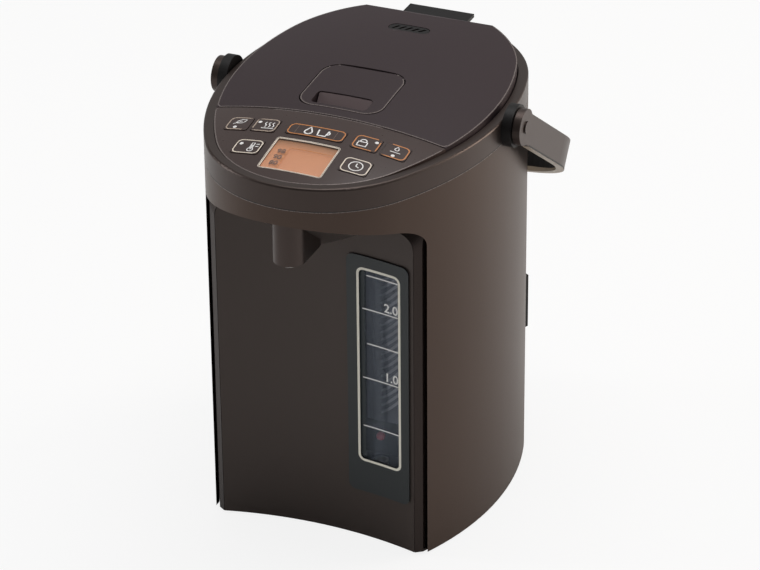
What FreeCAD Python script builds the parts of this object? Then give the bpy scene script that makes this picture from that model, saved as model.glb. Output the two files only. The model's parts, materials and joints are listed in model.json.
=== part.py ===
"""An electric thermo pot: an oval casing with a steel tank, a pump, a key field, a lid and a bail.

X points to the right of someone who faces the front, Y points to the back and Z points up. The
origin is on the surface that the pot stands on, under the middle of its length and width.
Lengths are in millimetres.
"""
import FreeCAD
import Part
import Sketcher
import math
import os
import re

SIZES = {
    "front_curve": (77.0, "radius of the oval's front"),
    "side_curve": (205.0, "radius of the oval's sides"),
    "rear_curve": (91.0, "radius of the oval's rear"),
    "front_centre": (65.0, "centre of the front curve, ahead of the origin"),
    "rear_centre": (34.5, "centre of the rear curve, behind the origin"),
    "casing_wall": (2.0, "thickness of the outer casing"),
    "casing_foot": (1.5, "height of the casing's lower edge"),
    "casing_top": (267.0, "seam between the casing and the head ring"),
    "ring_top": (282.5, "top of the head ring"),
    "ring_width": (6.5, "width of the head ring's top face"),
    "ring_round": (1.6, "rounding of the ring's outer top edge"),
    "fit_gap": (0.3, "gap between parts that fit together"),
    "arch_width": (76.0, "half the width of the casing's front opening"),
    "arch_crown": (255.0, "top of the casing's front opening"),
    "arch_curve": (211.0, "radius of the opening's top edge"),
    "arch_corner": (18.0, "radius of the opening's corners"),
    "arch_face": (85.1, "how far forward the opening's side edges are"),
    "panel_curve": (264.0, "radius of the hollow front panel"),
    "panel_depth": (81.0, "how far forward the middle of the front panel is"),
    "panel_wall": (2.2, "thickness of the front panel"),
    "panel_width": (68.5, "half the width of the front panel"),
    "panel_face": (90.0, "how far forward the front panel's edges are"),
    "panel_crown": (244.0, "top of the panel frame's inner edge"),
    "panel_corner": (13.0, "radius of the panel frame's inner corners"),
    "frame_back": (3.0, "depth of the panel frame behind its slope"),
    "cowl_wall": (2.0, "thickness of the front cowl"),
    "cowl_low": (214.0, "lowest level of the cowl's belly"),
    "cowl_top": (262.0, "top of the cowl, under the head base"),
    "belly_low_width": (5.7, "half width of the belly's cone at its lowest"),
    "belly_low_depth": (5.0, "depth of the belly's cone at its lowest"),
    "belly_top_width": (96.2, "half width of the belly's cone at its top"),
    "belly_top_depth": (66.0, "depth of the belly's cone at its top"),
    "keel_curve": (34.0, "rounding of the belly's lowest line"),
    "keel_low": (215.5, "level of the rounded lowest line"),
    "keel_high": (219.5, "level where the rounding meets the cone"),
    "base_thick": (2.5, "thickness of the base plate"),
    "foot_height": (3.0, "height of the rubber feet below the base plate"),
    "foot_radius": (8.0, "radius of a rubber foot"),
    "deck_thick": (4.0, "thickness of the head base"),
    "tank_centre": (12.0, "tank axis, behind the origin"),
    "tank_bore": (67.5, "inner radius of the tank"),
    "tank_wall": (0.8, "thickness of the tank's steel"),
    "tank_floor": (52.0, "level of the tank's floor inside"),
    "tank_mouth": (266.6, "level of the tank's rim"),
    "tank_lip": (2.2, "width of the tank's turned lip"),
    "vacuum_gap": (6.5, "space between the tank and the vacuum wall"),
    "heater_bore": (30.0, "inner radius of the heater"),
    "heater_radius": (60.0, "outer radius of the heater"),
    "heater_thick": (5.0, "thickness of the heater"),
    "dome_rise": (298.0, "level of the top of the dome"),
    "dome_back": (28.5, "highest place of the dome, behind the origin"),
    "dome_length": (850.0, "curve of the dome from front to rear"),
    "dome_cross": (370.0, "curve of the dome from side to side"),
    "tail_curve": (50.0, "curve of the dome's fall at the rear"),
    "tail_back": (81.7, "axis of that curve, behind the origin"),
    "tail_level": (247.5, "level of the axis of that curve"),
    "lid_front": (61.5, "seam between the lid and the key field, ahead of the origin"),
    "lid_gap": (0.8, "gap round the lid"),
    "lid_wall": (2.4, "thickness of the lid cover"),
    "lid_floor": (270.0, "level of the lid base's underside"),
    "plug_radius": (61.0, "radius of the lid's plug"),
    "plug_low": (254.0, "level of the underside of the plug"),
    "gasket_radius": (66.5, "outer radius of the lid gasket"),
    "hinge_back": (118.5, "lid hinge axis, behind the origin"),
    "hinge_level": (280.5, "level of the lid hinge axis"),
    "knuckle_radius": (3.4, "radius of the hinge's knuckles"),
    "hinge_notch": (24.0, "half width of the notch for the hinge"),
    "pin_radius": (2.0, "radius of the hinge pin"),
    "pin_play": (0.06, "running play of a pin in its bore"),
    "lever_half": (29.0, "half width of the lid lever"),
    "lever_front": (52.5, "front edge of the lid lever, ahead of the origin"),
    "lever_back": (3.5, "rear edge of the lid lever, behind the origin"),
    "lever_thick": (3.0, "thickness of the lid lever"),
    "grip_half": (19.0, "half width of the lever's finger recess"),
    "grip_front": (48.5, "front edge of the finger recess, ahead of the origin"),
    "grip_back": (34.0, "rear edge of the finger recess, ahead of the origin"),
    "grip_floor": (288.5, "level of the finger recess's floor"),
    "grip_wall": (1.5, "wall of the finger recess"),
    "lever_gap": (0.5, "gap round the lid lever"),
    "lever_corner": (12.0, "corner radius of the lever's opening"),
    "barrel_radius": (2.2, "radius of the lever's hinge barrel"),
    "stub_radius": (1.0, "radius of the lever's hinge pins"),
    "field_thick": (2.4, "thickness of the operation panel"),
    "key_gap": (0.35, "gap round a key"),
    "key_proud": (0.4, "how far a key stands above the panel"),
    "key_thick": (2.6, "thickness of a key"),
    "nozzle_forward": (125.5, "spout axis, ahead of the origin"),
    "nozzle_radius": (10.5, "outer radius of the spout nozzle"),
    "nozzle_low": (221.0, "level of the spout's lower end"),
    "nozzle_bore": (6.5, "radius of the spout's opening"),
    "hood_back": (93.0, "rear end of the spout's hood, ahead of the origin"),
    "hood_wall": (2.0, "wall of the spout's hood"),
    "pipe_radius": (5.0, "outer radius of the water pipes"),
    "pipe_bore": (3.6, "bore of the water pipes"),
    "gauge_left": (19.5, "left edge of the gauge bezel"),
    "gauge_right": (65.0, "right edge of the gauge bezel"),
    "gauge_low": (36.5, "lower edge of the gauge bezel"),
    "gauge_high": (211.0, "upper edge of the gauge bezel"),
    "gauge_round": (5.0, "corner radius of the bezel"),
    "gauge_proud": (1.2, "how far the bezel stands out of the panel"),
    "window_left": (28.5, "left edge of the gauge window"),
    "window_right": (57.0, "right edge of the gauge window"),
    "window_low": (61.5, "lower edge of the gauge window"),
    "window_high": (201.0, "upper edge of the gauge window"),
    "window_round": (3.0, "corner radius of the window"),
    "tube_side": (38.0, "gauge tube axis, to the right of the origin"),
    "tube_forward": (73.0, "gauge tube axis, ahead of the origin"),
    "tube_low": (56.0, "lower end of the gauge tube"),
    "tube_high": (207.0, "upper end of the gauge tube"),
    "float_radius": (2.9, "radius of the float"),
    "float_level": (74.0, "level of the float at rest"),
    "bail_back": (3.5, "handle axis, behind the origin"),
    "bail_level": (275.0, "level of the handle axis"),
    "bail_half": (107.5, "half width of the handle outside"),
    "bail_reach": (163.5, "from the handle axis to the outside of the grip"),
    "bail_thick": (5.0, "thickness of the handle band"),
    "bail_band": (20.0, "width of the handle band"),
    "bail_droop": (35.0, "angle of the folded handle below level"),
    "bail_curve": (80.0, "radius of the handle's corners"),
    "ear_radius": (14.0, "radius of the handle's ears"),
    "ear_out": (102.0, "outer face of the ears"),
    "inlet_angle": (30.0, "angle of the power inlet from the rear towards the right"),
    "inlet_wide": (44.0, "width of the inlet housing"),
    "inlet_low": (62.0, "lower edge of the inlet housing"),
    "inlet_high": (118.0, "upper edge of the inlet housing"),
    "inlet_out": (11.0, "how far the inlet housing stands out"),
    "pump_radius": (23.0, "radius of the pump body"),
    "motor_radius": (15.0, "radius of the pump motor"),
}

KEYS = {
    "save_key": (-53.0, 81.5, 16.5, 15.0),
    "reboil_key": (-34.5, 81.5, 17.0, 15.0),
    "dispense_key": (0.0, 81.5, 39.0, 12.5),
    "lock_key": (34.0, 81.5, 18.0, 15.0),
    "slow_key": (53.5, 81.5, 17.0, 15.0),
    "keep_warm_key": (-36.0, 106.0, 19.0, 15.5),
    "timer_key": (37.0, 106.0, 19.0, 15.5),
}
LCD = (0.0, 108.5, 42.0, 32.0)

doc = FreeCAD.newDocument("thermo_pot")
sheet = doc.addObject("Spreadsheet::Sheet", "Sizes")


def fill_sheet():
    """Write each driving size into its own named cell."""
    for row, (alias, (value, note)) in enumerate(SIZES.items(), 1):
        sheet.set(f"A{row}", note)
        sheet.set(f"B{row}", str(value))
        sheet.setAlias(f"B{row}", alias)
    doc.recompute()


def size(alias):
    """The number in a named cell."""
    return float(sheet.get(alias))


def formula(text):
    """Turn cell names in a formula into references to the sheet."""
    return re.sub(r"[a-z]+(_[a-z]+)*", lambda m: "Sizes." + m[0] if m[0] in SIZES else m[0], str(text))


def value(text):
    """The number that a formula gives now."""
    names = {alias: size(alias) for alias in SIZES if alias in str(text)}
    total = str(text)
    for alias in sorted(names, key=len, reverse=True):
        total = re.sub(rf"\b{alias}\b", repr(names[alias]), total)
    cell = "D1"
    sheet.set(cell, "=" + total)
    doc.recompute([sheet])
    return float(sheet.get(cell))


def bind(item, **formulas):
    """Tie properties of an object to formulas on the sheet."""
    for name, text in formulas.items():
        item.setExpression(name, formula(text))
    return item


def put(item, x=0, y=0, z=0, turn=None):
    """Place an object at formulas, turned first if asked."""
    if turn:
        item.Placement = FreeCAD.Placement(FreeCAD.Vector(), FreeCAD.Rotation(*turn))
    for letter, text in zip("xyz", (x, y, z)):
        item.setExpression(f".Placement.Base.{letter}", formula(text))
    return item


ALONG_X = (FreeCAD.Vector(0, 1, 0), 90)
ALONG_Y = (FreeCAD.Vector(1, 0, 0), -90)
LEVER_LEVEL = ("(dome_rise - dome_length - 0.1 - barrel_radius + sqrt(dome_length ^ 2"
               " - (dome_back - lever_back + lever_gap + barrel_radius) ^ 2))")


def cylinder(name, radius, length, x=0, y=0, z=0, turn=None):
    item = bind(doc.addObject("Part::Cylinder", name), Radius=radius, Height=length)
    return put(item, x, y, z, turn)


def cone(name, low, high, length, x=0, y=0, z=0, turn=None):
    item = bind(doc.addObject("Part::Cone", name), Radius1=low, Radius2=high, Height=length)
    return put(item, x, y, z, turn)


def box(name, length, width, height, x=0, y=0, z=0):
    item = bind(doc.addObject("Part::Box", name), Length=length, Width=width, Height=height)
    return put(item, x, y, z)


def cut(name, base, *tools):
    for number, tool in enumerate(tools, 1):
        item = doc.addObject("Part::Cut", name if number == len(tools) else f"{name}_step{number}")
        item.Base = base
        item.Tool = tool
        base = item
    return base


def fuse(name, *items):
    item = doc.addObject("Part::MultiFuse", name)
    item.Shapes = list(items)
    return item


def common(name, *items):
    item = doc.addObject("Part::MultiCommon", name)
    item.Shapes = list(items)
    return item


def feature(name, shape):
    """A plain feature whose shape is worked out from the sheet's values."""
    item = doc.addObject("Part::Feature", name)
    item.Shape = shape
    return item


def sketch_on(body, name, role, level=0):
    """A sketch on one of a body's origin planes, moved along its normal by a formula."""
    item = body.newObject("Sketcher::SketchObject", name)
    plane = [part for part in body.Origin.OriginFeatures if part.Role == role][0]
    item.AttachmentSupport = (plane, [""])
    item.MapMode = "FlatFace"
    item.setExpression(".AttachmentOffset.Base.z", formula(level))
    return item


def rule(item, kind, *where, text=None):
    """Add a constraint, with a formula where it has a size."""
    if text is None:
        return item.addConstraint(Sketcher.Constraint(kind, *where))
    index = item.addConstraint(Sketcher.Constraint(kind, *where, value(text)))
    item.setExpression(f"Constraints[{index}]", formula(text))
    return index


def arc(centre, radius, start, end):
    circle = Part.Circle(FreeCAD.Vector(*centre, 0), FreeCAD.Vector(0, 0, 1), radius)
    return Part.ArcOfCircle(circle, start, end)


def oval_sketch(body, name, inset, level):
    """The egg-shaped outline: a front, a rear and two side arcs that run into each other."""
    item = sketch_on(body, name, "XY_Plane", level)
    step = value(inset)
    front, side, rear = size("front_curve"), size("side_curve"), size("rear_curve")
    ahead, behind = -size("front_centre"), size("rear_centre")
    middle = (2 * side * (rear - front) + front**2 - rear**2) / (2 * (behind - ahead))
    middle += (ahead + behind) / 2
    across = -math.sqrt((side - front) ** 2 - (middle - ahead) ** 2)
    low = math.atan2(ahead - middle, -across)
    high = math.atan2(behind - middle, -across)
    item.addGeometry(arc((0, ahead), front - step, math.pi - low, 2 * math.pi + low))
    item.addGeometry(arc((across, middle), side - step, low, high))
    item.addGeometry(arc((0, behind), rear - step, high, math.pi - high))
    item.addGeometry(arc((-across, middle), side - step, math.pi - high, math.pi - low))
    for first in range(4):
        rule(item, "Tangent", first, 2, (first + 1) % 4, 1)
    rule(item, "PointOnObject", 0, 3, -2)
    rule(item, "PointOnObject", 2, 3, -2)
    rule(item, "Equal", 1, 3)
    rule(item, "DistanceY", 0, 3, -1, 1, text="front_centre")
    rule(item, "DistanceY", -1, 1, 2, 3, text="rear_centre")
    rule(item, "Radius", 0, text=f"front_curve - ({inset})")
    rule(item, "Radius", 1, text=f"side_curve - ({inset})")
    rule(item, "Radius", 2, text=f"rear_curve - ({inset})")
    return item


def arch_sketch(body, name, half, crown, curve, corner, low, level=0):
    """An arch in the XZ plane: straight sides, round corners and a gently curved top."""
    item = sketch_on(body, name, "XZ_Plane", level)
    wide, top, bend, turn, base = [value(text) for text in (half, crown, curve, corner, low)]
    shoulder = top - bend + math.sqrt((bend - turn) ** 2 - (wide - turn) ** 2)
    tilt = math.atan2(shoulder - (top - bend), wide - turn)
    item.addGeometry(Part.LineSegment(FreeCAD.Vector(-wide, base), FreeCAD.Vector(wide, base)))
    item.addGeometry(Part.LineSegment(FreeCAD.Vector(wide, base), FreeCAD.Vector(wide, shoulder)))
    item.addGeometry(arc((wide - turn, shoulder), turn, 0, tilt))
    item.addGeometry(arc((0, top - bend), bend, tilt, math.pi - tilt))
    item.addGeometry(arc((turn - wide, shoulder), turn, math.pi - tilt, math.pi))
    item.addGeometry(Part.LineSegment(FreeCAD.Vector(-wide, shoulder), FreeCAD.Vector(-wide, base)))
    rule(item, "Coincident", 0, 2, 1, 1)
    for first in (1, 2, 3, 4):
        rule(item, "Tangent", first, 2, first + 1, 1)
    rule(item, "Coincident", 5, 2, 0, 1)
    rule(item, "Vertical", 1)
    rule(item, "Symmetric", 0, 1, 0, 2, -2)
    rule(item, "PointOnObject", 3, 3, -2)
    rule(item, "Equal", 2, 4)
    rule(item, "Radius", 2, text=corner)
    rule(item, "Radius", 3, text=curve)
    rule(item, "DistanceX", -1, 1, 0, 2, text=half)
    rule(item, "DistanceY", -1, 1, 0, 2, text=low)
    rule(item, "DistanceY", -1, 1, 3, 3, text=f"{crown} - {curve}")
    return item


def outline_sketch(body, name, role, points, level=0):
    """A closed outline of straight lines, each corner placed by two formulas."""
    item = sketch_on(body, name, role, level)
    corners = [FreeCAD.Vector(value(x), value(y)) for x, y in points]
    for start, end in zip(corners, corners[1:] + corners[:1]):
        item.addGeometry(Part.LineSegment(start, end))
    for index, (x, y) in enumerate(points):
        rule(item, "Coincident", index - 1 if index else len(points) - 1, 2, index, 1)
        for kind, text in (("DistanceX", x), ("DistanceY", y)):
            rule(item, kind, -1, 1, index, 1, text=text)
    return item


def rounded_sketch(body, name, role, left, right, low, high, corner, level=0):
    """A rectangle with round corners, from formulas for its four sides."""
    item = sketch_on(body, name, role, level)
    sides = [value(text) for text in (left, right, low, high)]
    west, east, south, north = sides
    turn = value(corner)
    spots = [(east - turn, south + turn), (east - turn, north - turn),
             (west + turn, north - turn), (west + turn, south + turn)]
    runs = [((west + turn, south), (east - turn, south)), ((east, south + turn), (east, north - turn)),
            ((east - turn, north), (west + turn, north)), ((west, north - turn), (west, south + turn))]
    for index, (start, end) in enumerate(runs):
        item.addGeometry(Part.LineSegment(FreeCAD.Vector(*start), FreeCAD.Vector(*end)))
        item.addGeometry(arc(spots[index], turn, (index - 1) * math.pi / 2, index * math.pi / 2))
    for first in range(8):
        rule(item, "Tangent", first, 2, (first + 1) % 8, 1)
    for line, kind in ((0, "Horizontal"), (2, "Vertical")):
        rule(item, kind, line)
    for other in (3, 5, 7):
        rule(item, "Equal", 1, other)
    rule(item, "Radius", 1, text=corner)
    rule(item, "DistanceX", -1, 1, 6, 1, text=left)
    rule(item, "DistanceX", -1, 1, 2, 1, text=right)
    rule(item, "DistanceY", -1, 1, 0, 1, text=low)
    rule(item, "DistanceY", -1, 1, 4, 1, text=high)
    return item


def pad(body, sketch, length, reverse=False):
    item = bind(body.newObject("PartDesign::Pad", sketch.Name + "_pad"), Length=length)
    item.Profile = sketch
    item.Reversed = reverse
    return body


def pocket(body, sketch, length, reverse=False):
    item = bind(body.newObject("PartDesign::Pocket", sketch.Name + "_pocket"), Length=length)
    item.Profile = sketch
    item.Reversed = reverse
    return body


def new_body(name):
    return doc.addObject("PartDesign::Body", name)


def oval(name, inset, low, height):
    """A solid oval block."""
    body = new_body(name)
    return pad(body, oval_sketch(body, name + "_outline", inset, low), height)


def turned(name, points, x=0, y=0):
    """A revolved piece about a vertical axis, from radius and level formulas."""
    body = new_body(name)
    sketch = outline_sketch(body, name + "_profile", "XZ_Plane", points)
    item = body.newObject("PartDesign::Revolution", name + "_turned")
    item.Profile = sketch
    item.ReferenceAxis = (sketch, ["V_Axis"])
    item.Angle = 360
    return put(body, x, y)


def plate(name, left, right, low, high, corner, level, thick):
    """A flat plate with round corners, in the XY plane."""
    body = new_body(name)
    sketch = rounded_sketch(body, name + "_outline", "XY_Plane", left, right, low, high, corner, level)
    return pad(body, sketch, thick)


def upright(name, left, right, low, high, corner, front, depth):
    """A plate that stands in the XZ plane, from `front` ahead of the origin towards the back."""
    body = new_body(name)
    sketch = rounded_sketch(body, name + "_outline", "XZ_Plane", left, right, low, high, corner, front)
    return pad(body, sketch, depth, reverse=True)


def hollow(name, outward, inward):
    """An upright slab between two arcs that share the front panel's centre."""
    centre = "-panel_depth - panel_curve"
    low, height = "casing_foot", "cowl_top - casing_foot"
    outer = cylinder(name + "_outer", f"panel_curve + {inward}", height, 0, centre, low)
    inner = cylinder(name + "_inner", f"panel_curve - {outward}", height, 0, centre, low)
    return cut(name, outer, inner)


def dome(name, drop):
    """The space under the lid's curved top, lowered by a formula, with a rounder fall at the rear."""
    hill = bind(doc.addObject("Part::Torus", name + "_hill"), Radius1="dome_length - dome_cross",
                Radius2=f"dome_cross - ({drop})")
    put(hill, 0, "dome_back", "dome_rise - dome_length", ALONG_X)
    block = box(name + "_block", "300", "80", "100", "-150", "tail_back", "tail_level")
    drum = cylinder(name + "_drum", f"tail_curve - ({drop})", "320", "-160", "tail_back", "tail_level",
                    ALONG_X)
    return cut(name, hill, cut(name + "_fall", block, drum))


def pipe(name, points, radius, bore, bend):
    """A bent pipe: straight runs joined by tangent arcs, with its bore."""
    corners = [FreeCAD.Vector(*point) for point in points]
    edges = []
    start = corners[0]
    for before, corner, after in zip(corners, corners[1:], corners[2:]):
        back, ahead = (before - corner).normalize(), (after - corner).normalize()
        half = back.getAngle(ahead) / 2
        reach = bend / math.tan(half)
        first, last = corner + back * reach, corner + ahead * reach
        middle = corner + (back + ahead).normalize() * (bend / math.sin(half) - bend)
        edges += [Part.makeLine(start, first), Part.Arc(first, middle, last).toShape()]
        start = last
    edges.append(Part.makeLine(start, corners[-1]))
    path = Part.Wire(edges)
    heading = corners[1] - corners[0]
    solids = []
    for width in (radius, bore):
        ring = Part.Wire(Part.makeCircle(width, corners[0], heading))
        solids.append(path.makePipeShell([ring], True, True))
    return feature(name, solids[0].cut(solids[1]))


def arch_block(name, half, crown, curve, corner, front, depth):
    """A solid with the arch's outline that runs from `front` towards the back."""
    body = new_body(name)
    sketch = arch_sketch(body, name + "_arch", half, crown, curve, corner, "-5", front)
    return pad(body, sketch, depth, reverse=True)


def build_casing():
    body = oval("outer_casing", "0", "casing_foot", "casing_top - casing_foot")
    inside = oval_sketch(body, "casing_inside", "casing_wall", "casing_top")
    pocket(body, inside, "casing_top")
    opening = arch_sketch(body, "casing_opening", "arch_width", "arch_crown", "arch_curve",
                          "arch_corner", "-5")
    pocket(body, opening, "front_centre + front_curve + 10", reverse=True)
    return body


def build_ring():
    body = oval("head_ring_shell", "0", "casing_top", "ring_top - casing_top")
    pocket(body, oval_sketch(body, "ring_inside", "ring_width", "ring_top"), "ring_top")
    doc.recompute()
    rims = [size("front_curve"), size("side_curve"), size("rear_curve")]
    edges = [f"Edge{number}" for number, edge in enumerate(body.Tip.Shape.Edges, 1)
             if abs(edge.BoundBox.ZMin - size("ring_top")) < 0.01 and edge.Curve.TypeId == "Part::GeomCircle"
             and min(abs(edge.Curve.Radius - radius) for radius in rims) < 0.01]
    edge_round = bind(body.newObject("PartDesign::Fillet", "ring_edge"), Radius="ring_round")
    edge_round.Base = (body.getObject("ring_inside_pocket"), edges)
    notch = box("ring_notch", "2 * hinge_notch", "40", "30", "-hinge_notch", "hinge_back - 12", "casing_top")
    return cut("head_ring", body, notch)


def build_head_base():
    gap = "casing_wall + fit_gap"
    block = oval("head_base_block", gap, "casing_top - fit_gap - deck_thick", "deck_thick")
    mouth = cylinder("head_base_mouth", "tank_bore + tank_wall + tank_lip + fit_gap", "deck_thick + 2", 0,
                     "tank_centre", "casing_top - deck_thick - 2")
    return cut("head_base", block, mouth)


def build_front():
    """Front panel, its frame and the cowl above it."""
    slab = hollow("panel_slab", "0", "panel_wall")
    side = arch_block("panel_side", "panel_width - fit_gap", "panel_crown - fit_gap", "arch_curve",
                      "panel_corner", "panel_face + 5", "40")
    hole = upright("panel_hole", "window_left - 1", "window_right + 1", "window_low - 1", "window_high + 1",
                   "window_round", "panel_face + 5", "30")
    cut("front_panel", common("panel_sheet", slab, side), hole)

    body = new_body("frame_slope")
    inner = arch_sketch(body, "frame_inner", "panel_width", "panel_crown", "arch_curve", "panel_corner",
                        "casing_foot", "panel_face")
    outer = arch_sketch(body, "frame_outer", "arch_width - fit_gap", "arch_crown - fit_gap", "arch_curve",
                        "arch_corner", "casing_foot", "arch_face")
    loft = body.newObject("PartDesign::AdditiveLoft", "frame_loft")
    loft.Profile = inner
    loft.Sections = [outer]
    loft.Ruled = True
    back = arch_sketch(body, "frame_back_outline", "arch_width - fit_gap", "arch_crown - fit_gap",
                       "arch_curve", "arch_corner", "casing_foot", "arch_face")
    pad(body, back, "frame_back", reverse=True)
    bore = arch_block("frame_bore", "panel_width", "panel_crown", "arch_curve", "panel_corner",
                      "panel_face + 10", "40")
    hold = cut("frame_ring", body, bore)
    belly = belly_block("frame_belly", "fit_gap")
    over = oval("frame_oval", "casing_wall + fit_gap", "0", "casing_top")
    crop = box("frame_crop", "200", "60", "260", "-100", "-120", "casing_foot")
    cut("panel_frame", common("frame_inside", hold, over, crop), belly)


def belly_block(name, grow):
    """The cowl's belly: a cone from a small ellipse up to a wide one, with a rounded lowest line."""
    sections = []
    for label, wide, deep, level in (
        ("low", "belly_low_width", "belly_low_depth", "cowl_low"),
        ("top", "belly_top_width", "belly_top_depth", "cowl_top"),
    ):
        item = bind(doc.addObject("Part::Ellipse", f"{name}_{label}"),
                    MajorRadius=f"{wide} + {grow}", MinorRadius=f"{deep} + {grow}")
        sections.append(put(item, 0, "-panel_depth", f"{level} - {grow}"))
    loft = doc.addObject("Part::Loft", f"{name}_cone")
    loft.Sections = sections
    loft.Solid = True
    loft.Ruled = True
    keel = cylinder(f"{name}_keel", f"keel_curve + {grow}", "200", 0, "-200", "keel_low + keel_curve",
                    ALONG_Y)
    above = box(f"{name}_above", "240", "200", "80", "-120", "-200", f"keel_high - {grow}")
    return common(name, loft, fuse(f"{name}_limit", keel, above))


def build_cowl():
    """The underside of the head: an arched ceiling and a belly that slopes back to the panel."""
    gap = "casing_wall + fit_gap"
    layers = []
    for label, inset, back, shrink in (("outside", gap, "0", "0"),
                                       ("inside", f"{gap} + cowl_wall", "cowl_wall", "cowl_wall")):
        low = f"cowl_low + {shrink}"
        block = oval(f"cowl_{label}_oval", inset, low, f"cowl_top - cowl_low + {shrink}")
        front = cylinder(f"cowl_{label}_front", f"panel_curve - fit_gap - {back}", "60", 0,
                         "-panel_depth - panel_curve", low)
        ahead = common(f"cowl_{label}_ahead", block, front)
        arch = arch_block(f"cowl_{label}_arch", f"arch_width - {shrink}", f"arch_crown + {shrink}",
                          "arch_curve", "arch_corner", "160", "120")
        ceiling = cut(f"cowl_{label}_ceiling", ahead, arch)
        belly = belly_block(f"cowl_{label}_belly", f"-{shrink}")
        layers.append(fuse(f"cowl_{label}", ceiling, common(f"cowl_{label}_low", ahead, belly)))
    top = box("cowl_trim", "300", "200", "40", "-150", "-200", "cowl_top")
    hole = hood_block("cowl_hole", "fit_gap", "cowl_low - 5", "60")
    back = box("cowl_notch", "26", "14", "20", "tube_side - 20", "-panel_face - 2", "cowl_top - 17")
    cut("front_cowl", layers[0], layers[1], top, hole, back)


def hood_block(name, grow, level, height):
    """The spout's outline from above: round in front, with sides that run back to the panel."""
    wide = f"nozzle_radius + {grow}"
    return plate(name, f"-({wide})", wide, f"-nozzle_forward - ({wide})", f"-hood_back + {grow}",
                 f"{wide} - 0.2", level, height)


def build_spout():
    """The nozzle with the hood behind it, and the bright ring in its mouth."""
    sleeve = turned("nozzle_sleeve", [
        ("nozzle_bore", "nozzle_low + 1"), ("nozzle_radius - 3", "nozzle_low + 1"),
        ("nozzle_radius", "nozzle_low + 6"), ("nozzle_radius", "cowl_top - 6"),
        ("nozzle_bore", "cowl_top - 6")], 0, "-nozzle_forward")
    hood = hood_block("hood_outside", "0", "nozzle_low + 2", "cowl_top - nozzle_low - 8")
    room = hood_block("hood_room", "-hood_wall", "nozzle_low + 2 + hood_wall", "60")
    bore = cylinder("nozzle_hole", "nozzle_bore", "60", 0, "-nozzle_forward", "nozzle_low - 5")
    foot = cut("hood_foot", hood, cylinder("nozzle_room", "nozzle_radius - 1", "60", 0, "-nozzle_forward",
                                           "nozzle_low - 5"))
    slot = box("nozzle_slot", "22", "30", "30", "-3", "-nozzle_forward", "cowl_top - 16")
    cut("spout_nozzle", fuse("nozzle_whole", sleeve, cut("hood_shell", foot, room)), bore, slot)
    turned("spout_ring", [("nozzle_bore - 1.5", "nozzle_low"), ("nozzle_radius - 3.4", "nozzle_low"),
                          ("nozzle_radius - 3.4", "nozzle_low + 1"), ("nozzle_bore", "nozzle_low + 1"),
                          ("nozzle_bore", "nozzle_low + 4"), ("nozzle_bore - 1.5", "nozzle_low + 4")],
           0, "-nozzle_forward")


def build_gauge():
    """Bezel, lens, striped backing, sight tube and float."""
    slab = hollow("bezel_slab", "gauge_proud", "0")
    edge = upright("bezel_edge", "gauge_left", "gauge_right", "gauge_low", "gauge_high", "gauge_round",
                   "panel_face + 5", "30")
    hole = upright("bezel_hole", "window_left", "window_right", "window_low", "window_high", "window_round",
                   "panel_face + 5", "30")
    cut("gauge_bezel", common("bezel_sheet", slab, edge), hole)
    lens_slab = hollow("lens_slab", "0", "panel_wall")
    lens_edge = upright("lens_edge", "window_left - 1 + fit_gap", "window_right + 1 - fit_gap",
                        "window_low - 1 + fit_gap", "window_high + 1 - fit_gap", "window_round",
                        "panel_face + 5", "30")
    common("gauge_window", lens_slab, lens_edge)
    upright("gauge_backing", "window_left - 4", "window_right + 4", "window_low - 4", "window_high + 4",
            "window_round", "tube_forward - pipe_radius - fit_gap", "1.5")
    outer = cylinder("tube_outer", "pipe_radius", "tube_high - tube_low", "tube_side", "-tube_forward",
                     "tube_low")
    inner = cylinder("tube_inner", "pipe_bore", "tube_high - tube_low + 2", "tube_side", "-tube_forward",
                     "tube_low - 1")
    cut("gauge_tube", outer, inner)
    ball = bind(doc.addObject("Part::Sphere", "gauge_float"), Radius="float_radius")
    put(ball, "tube_side", "-tube_forward", "float_level")


def build_pipes():
    """Water path: tank to pump, pump to gauge tube, gauge tube to spout."""
    side, ahead = size("tube_side"), -size("tube_forward")
    spout, top = -size("nozzle_forward"), size("cowl_top") - 9
    radius, bore = size("pipe_radius"), size("pipe_bore")
    pipe("spout_pipe", [(side, ahead, size("tube_high")), (side, ahead, top), (0, spout, top),
                        (0, spout, size("nozzle_low") + 5)], radius, bore, 8.0)
    level = 33.0
    pump = size("tank_centre") - size("pump_radius")
    pipe("tube_elbow", [(0, pump, level), (0, ahead, level), (side, ahead, level),
                        (side, ahead, size("tube_low"))], radius, bore, 8.0)
    turned("pump_elbow", [
        ("pipe_bore", "42"), ("pipe_radius", "42"), ("pipe_radius", "tank_floor - tank_wall"),
        ("pipe_bore", "tank_floor - tank_wall")], 0, "tank_centre")


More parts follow.
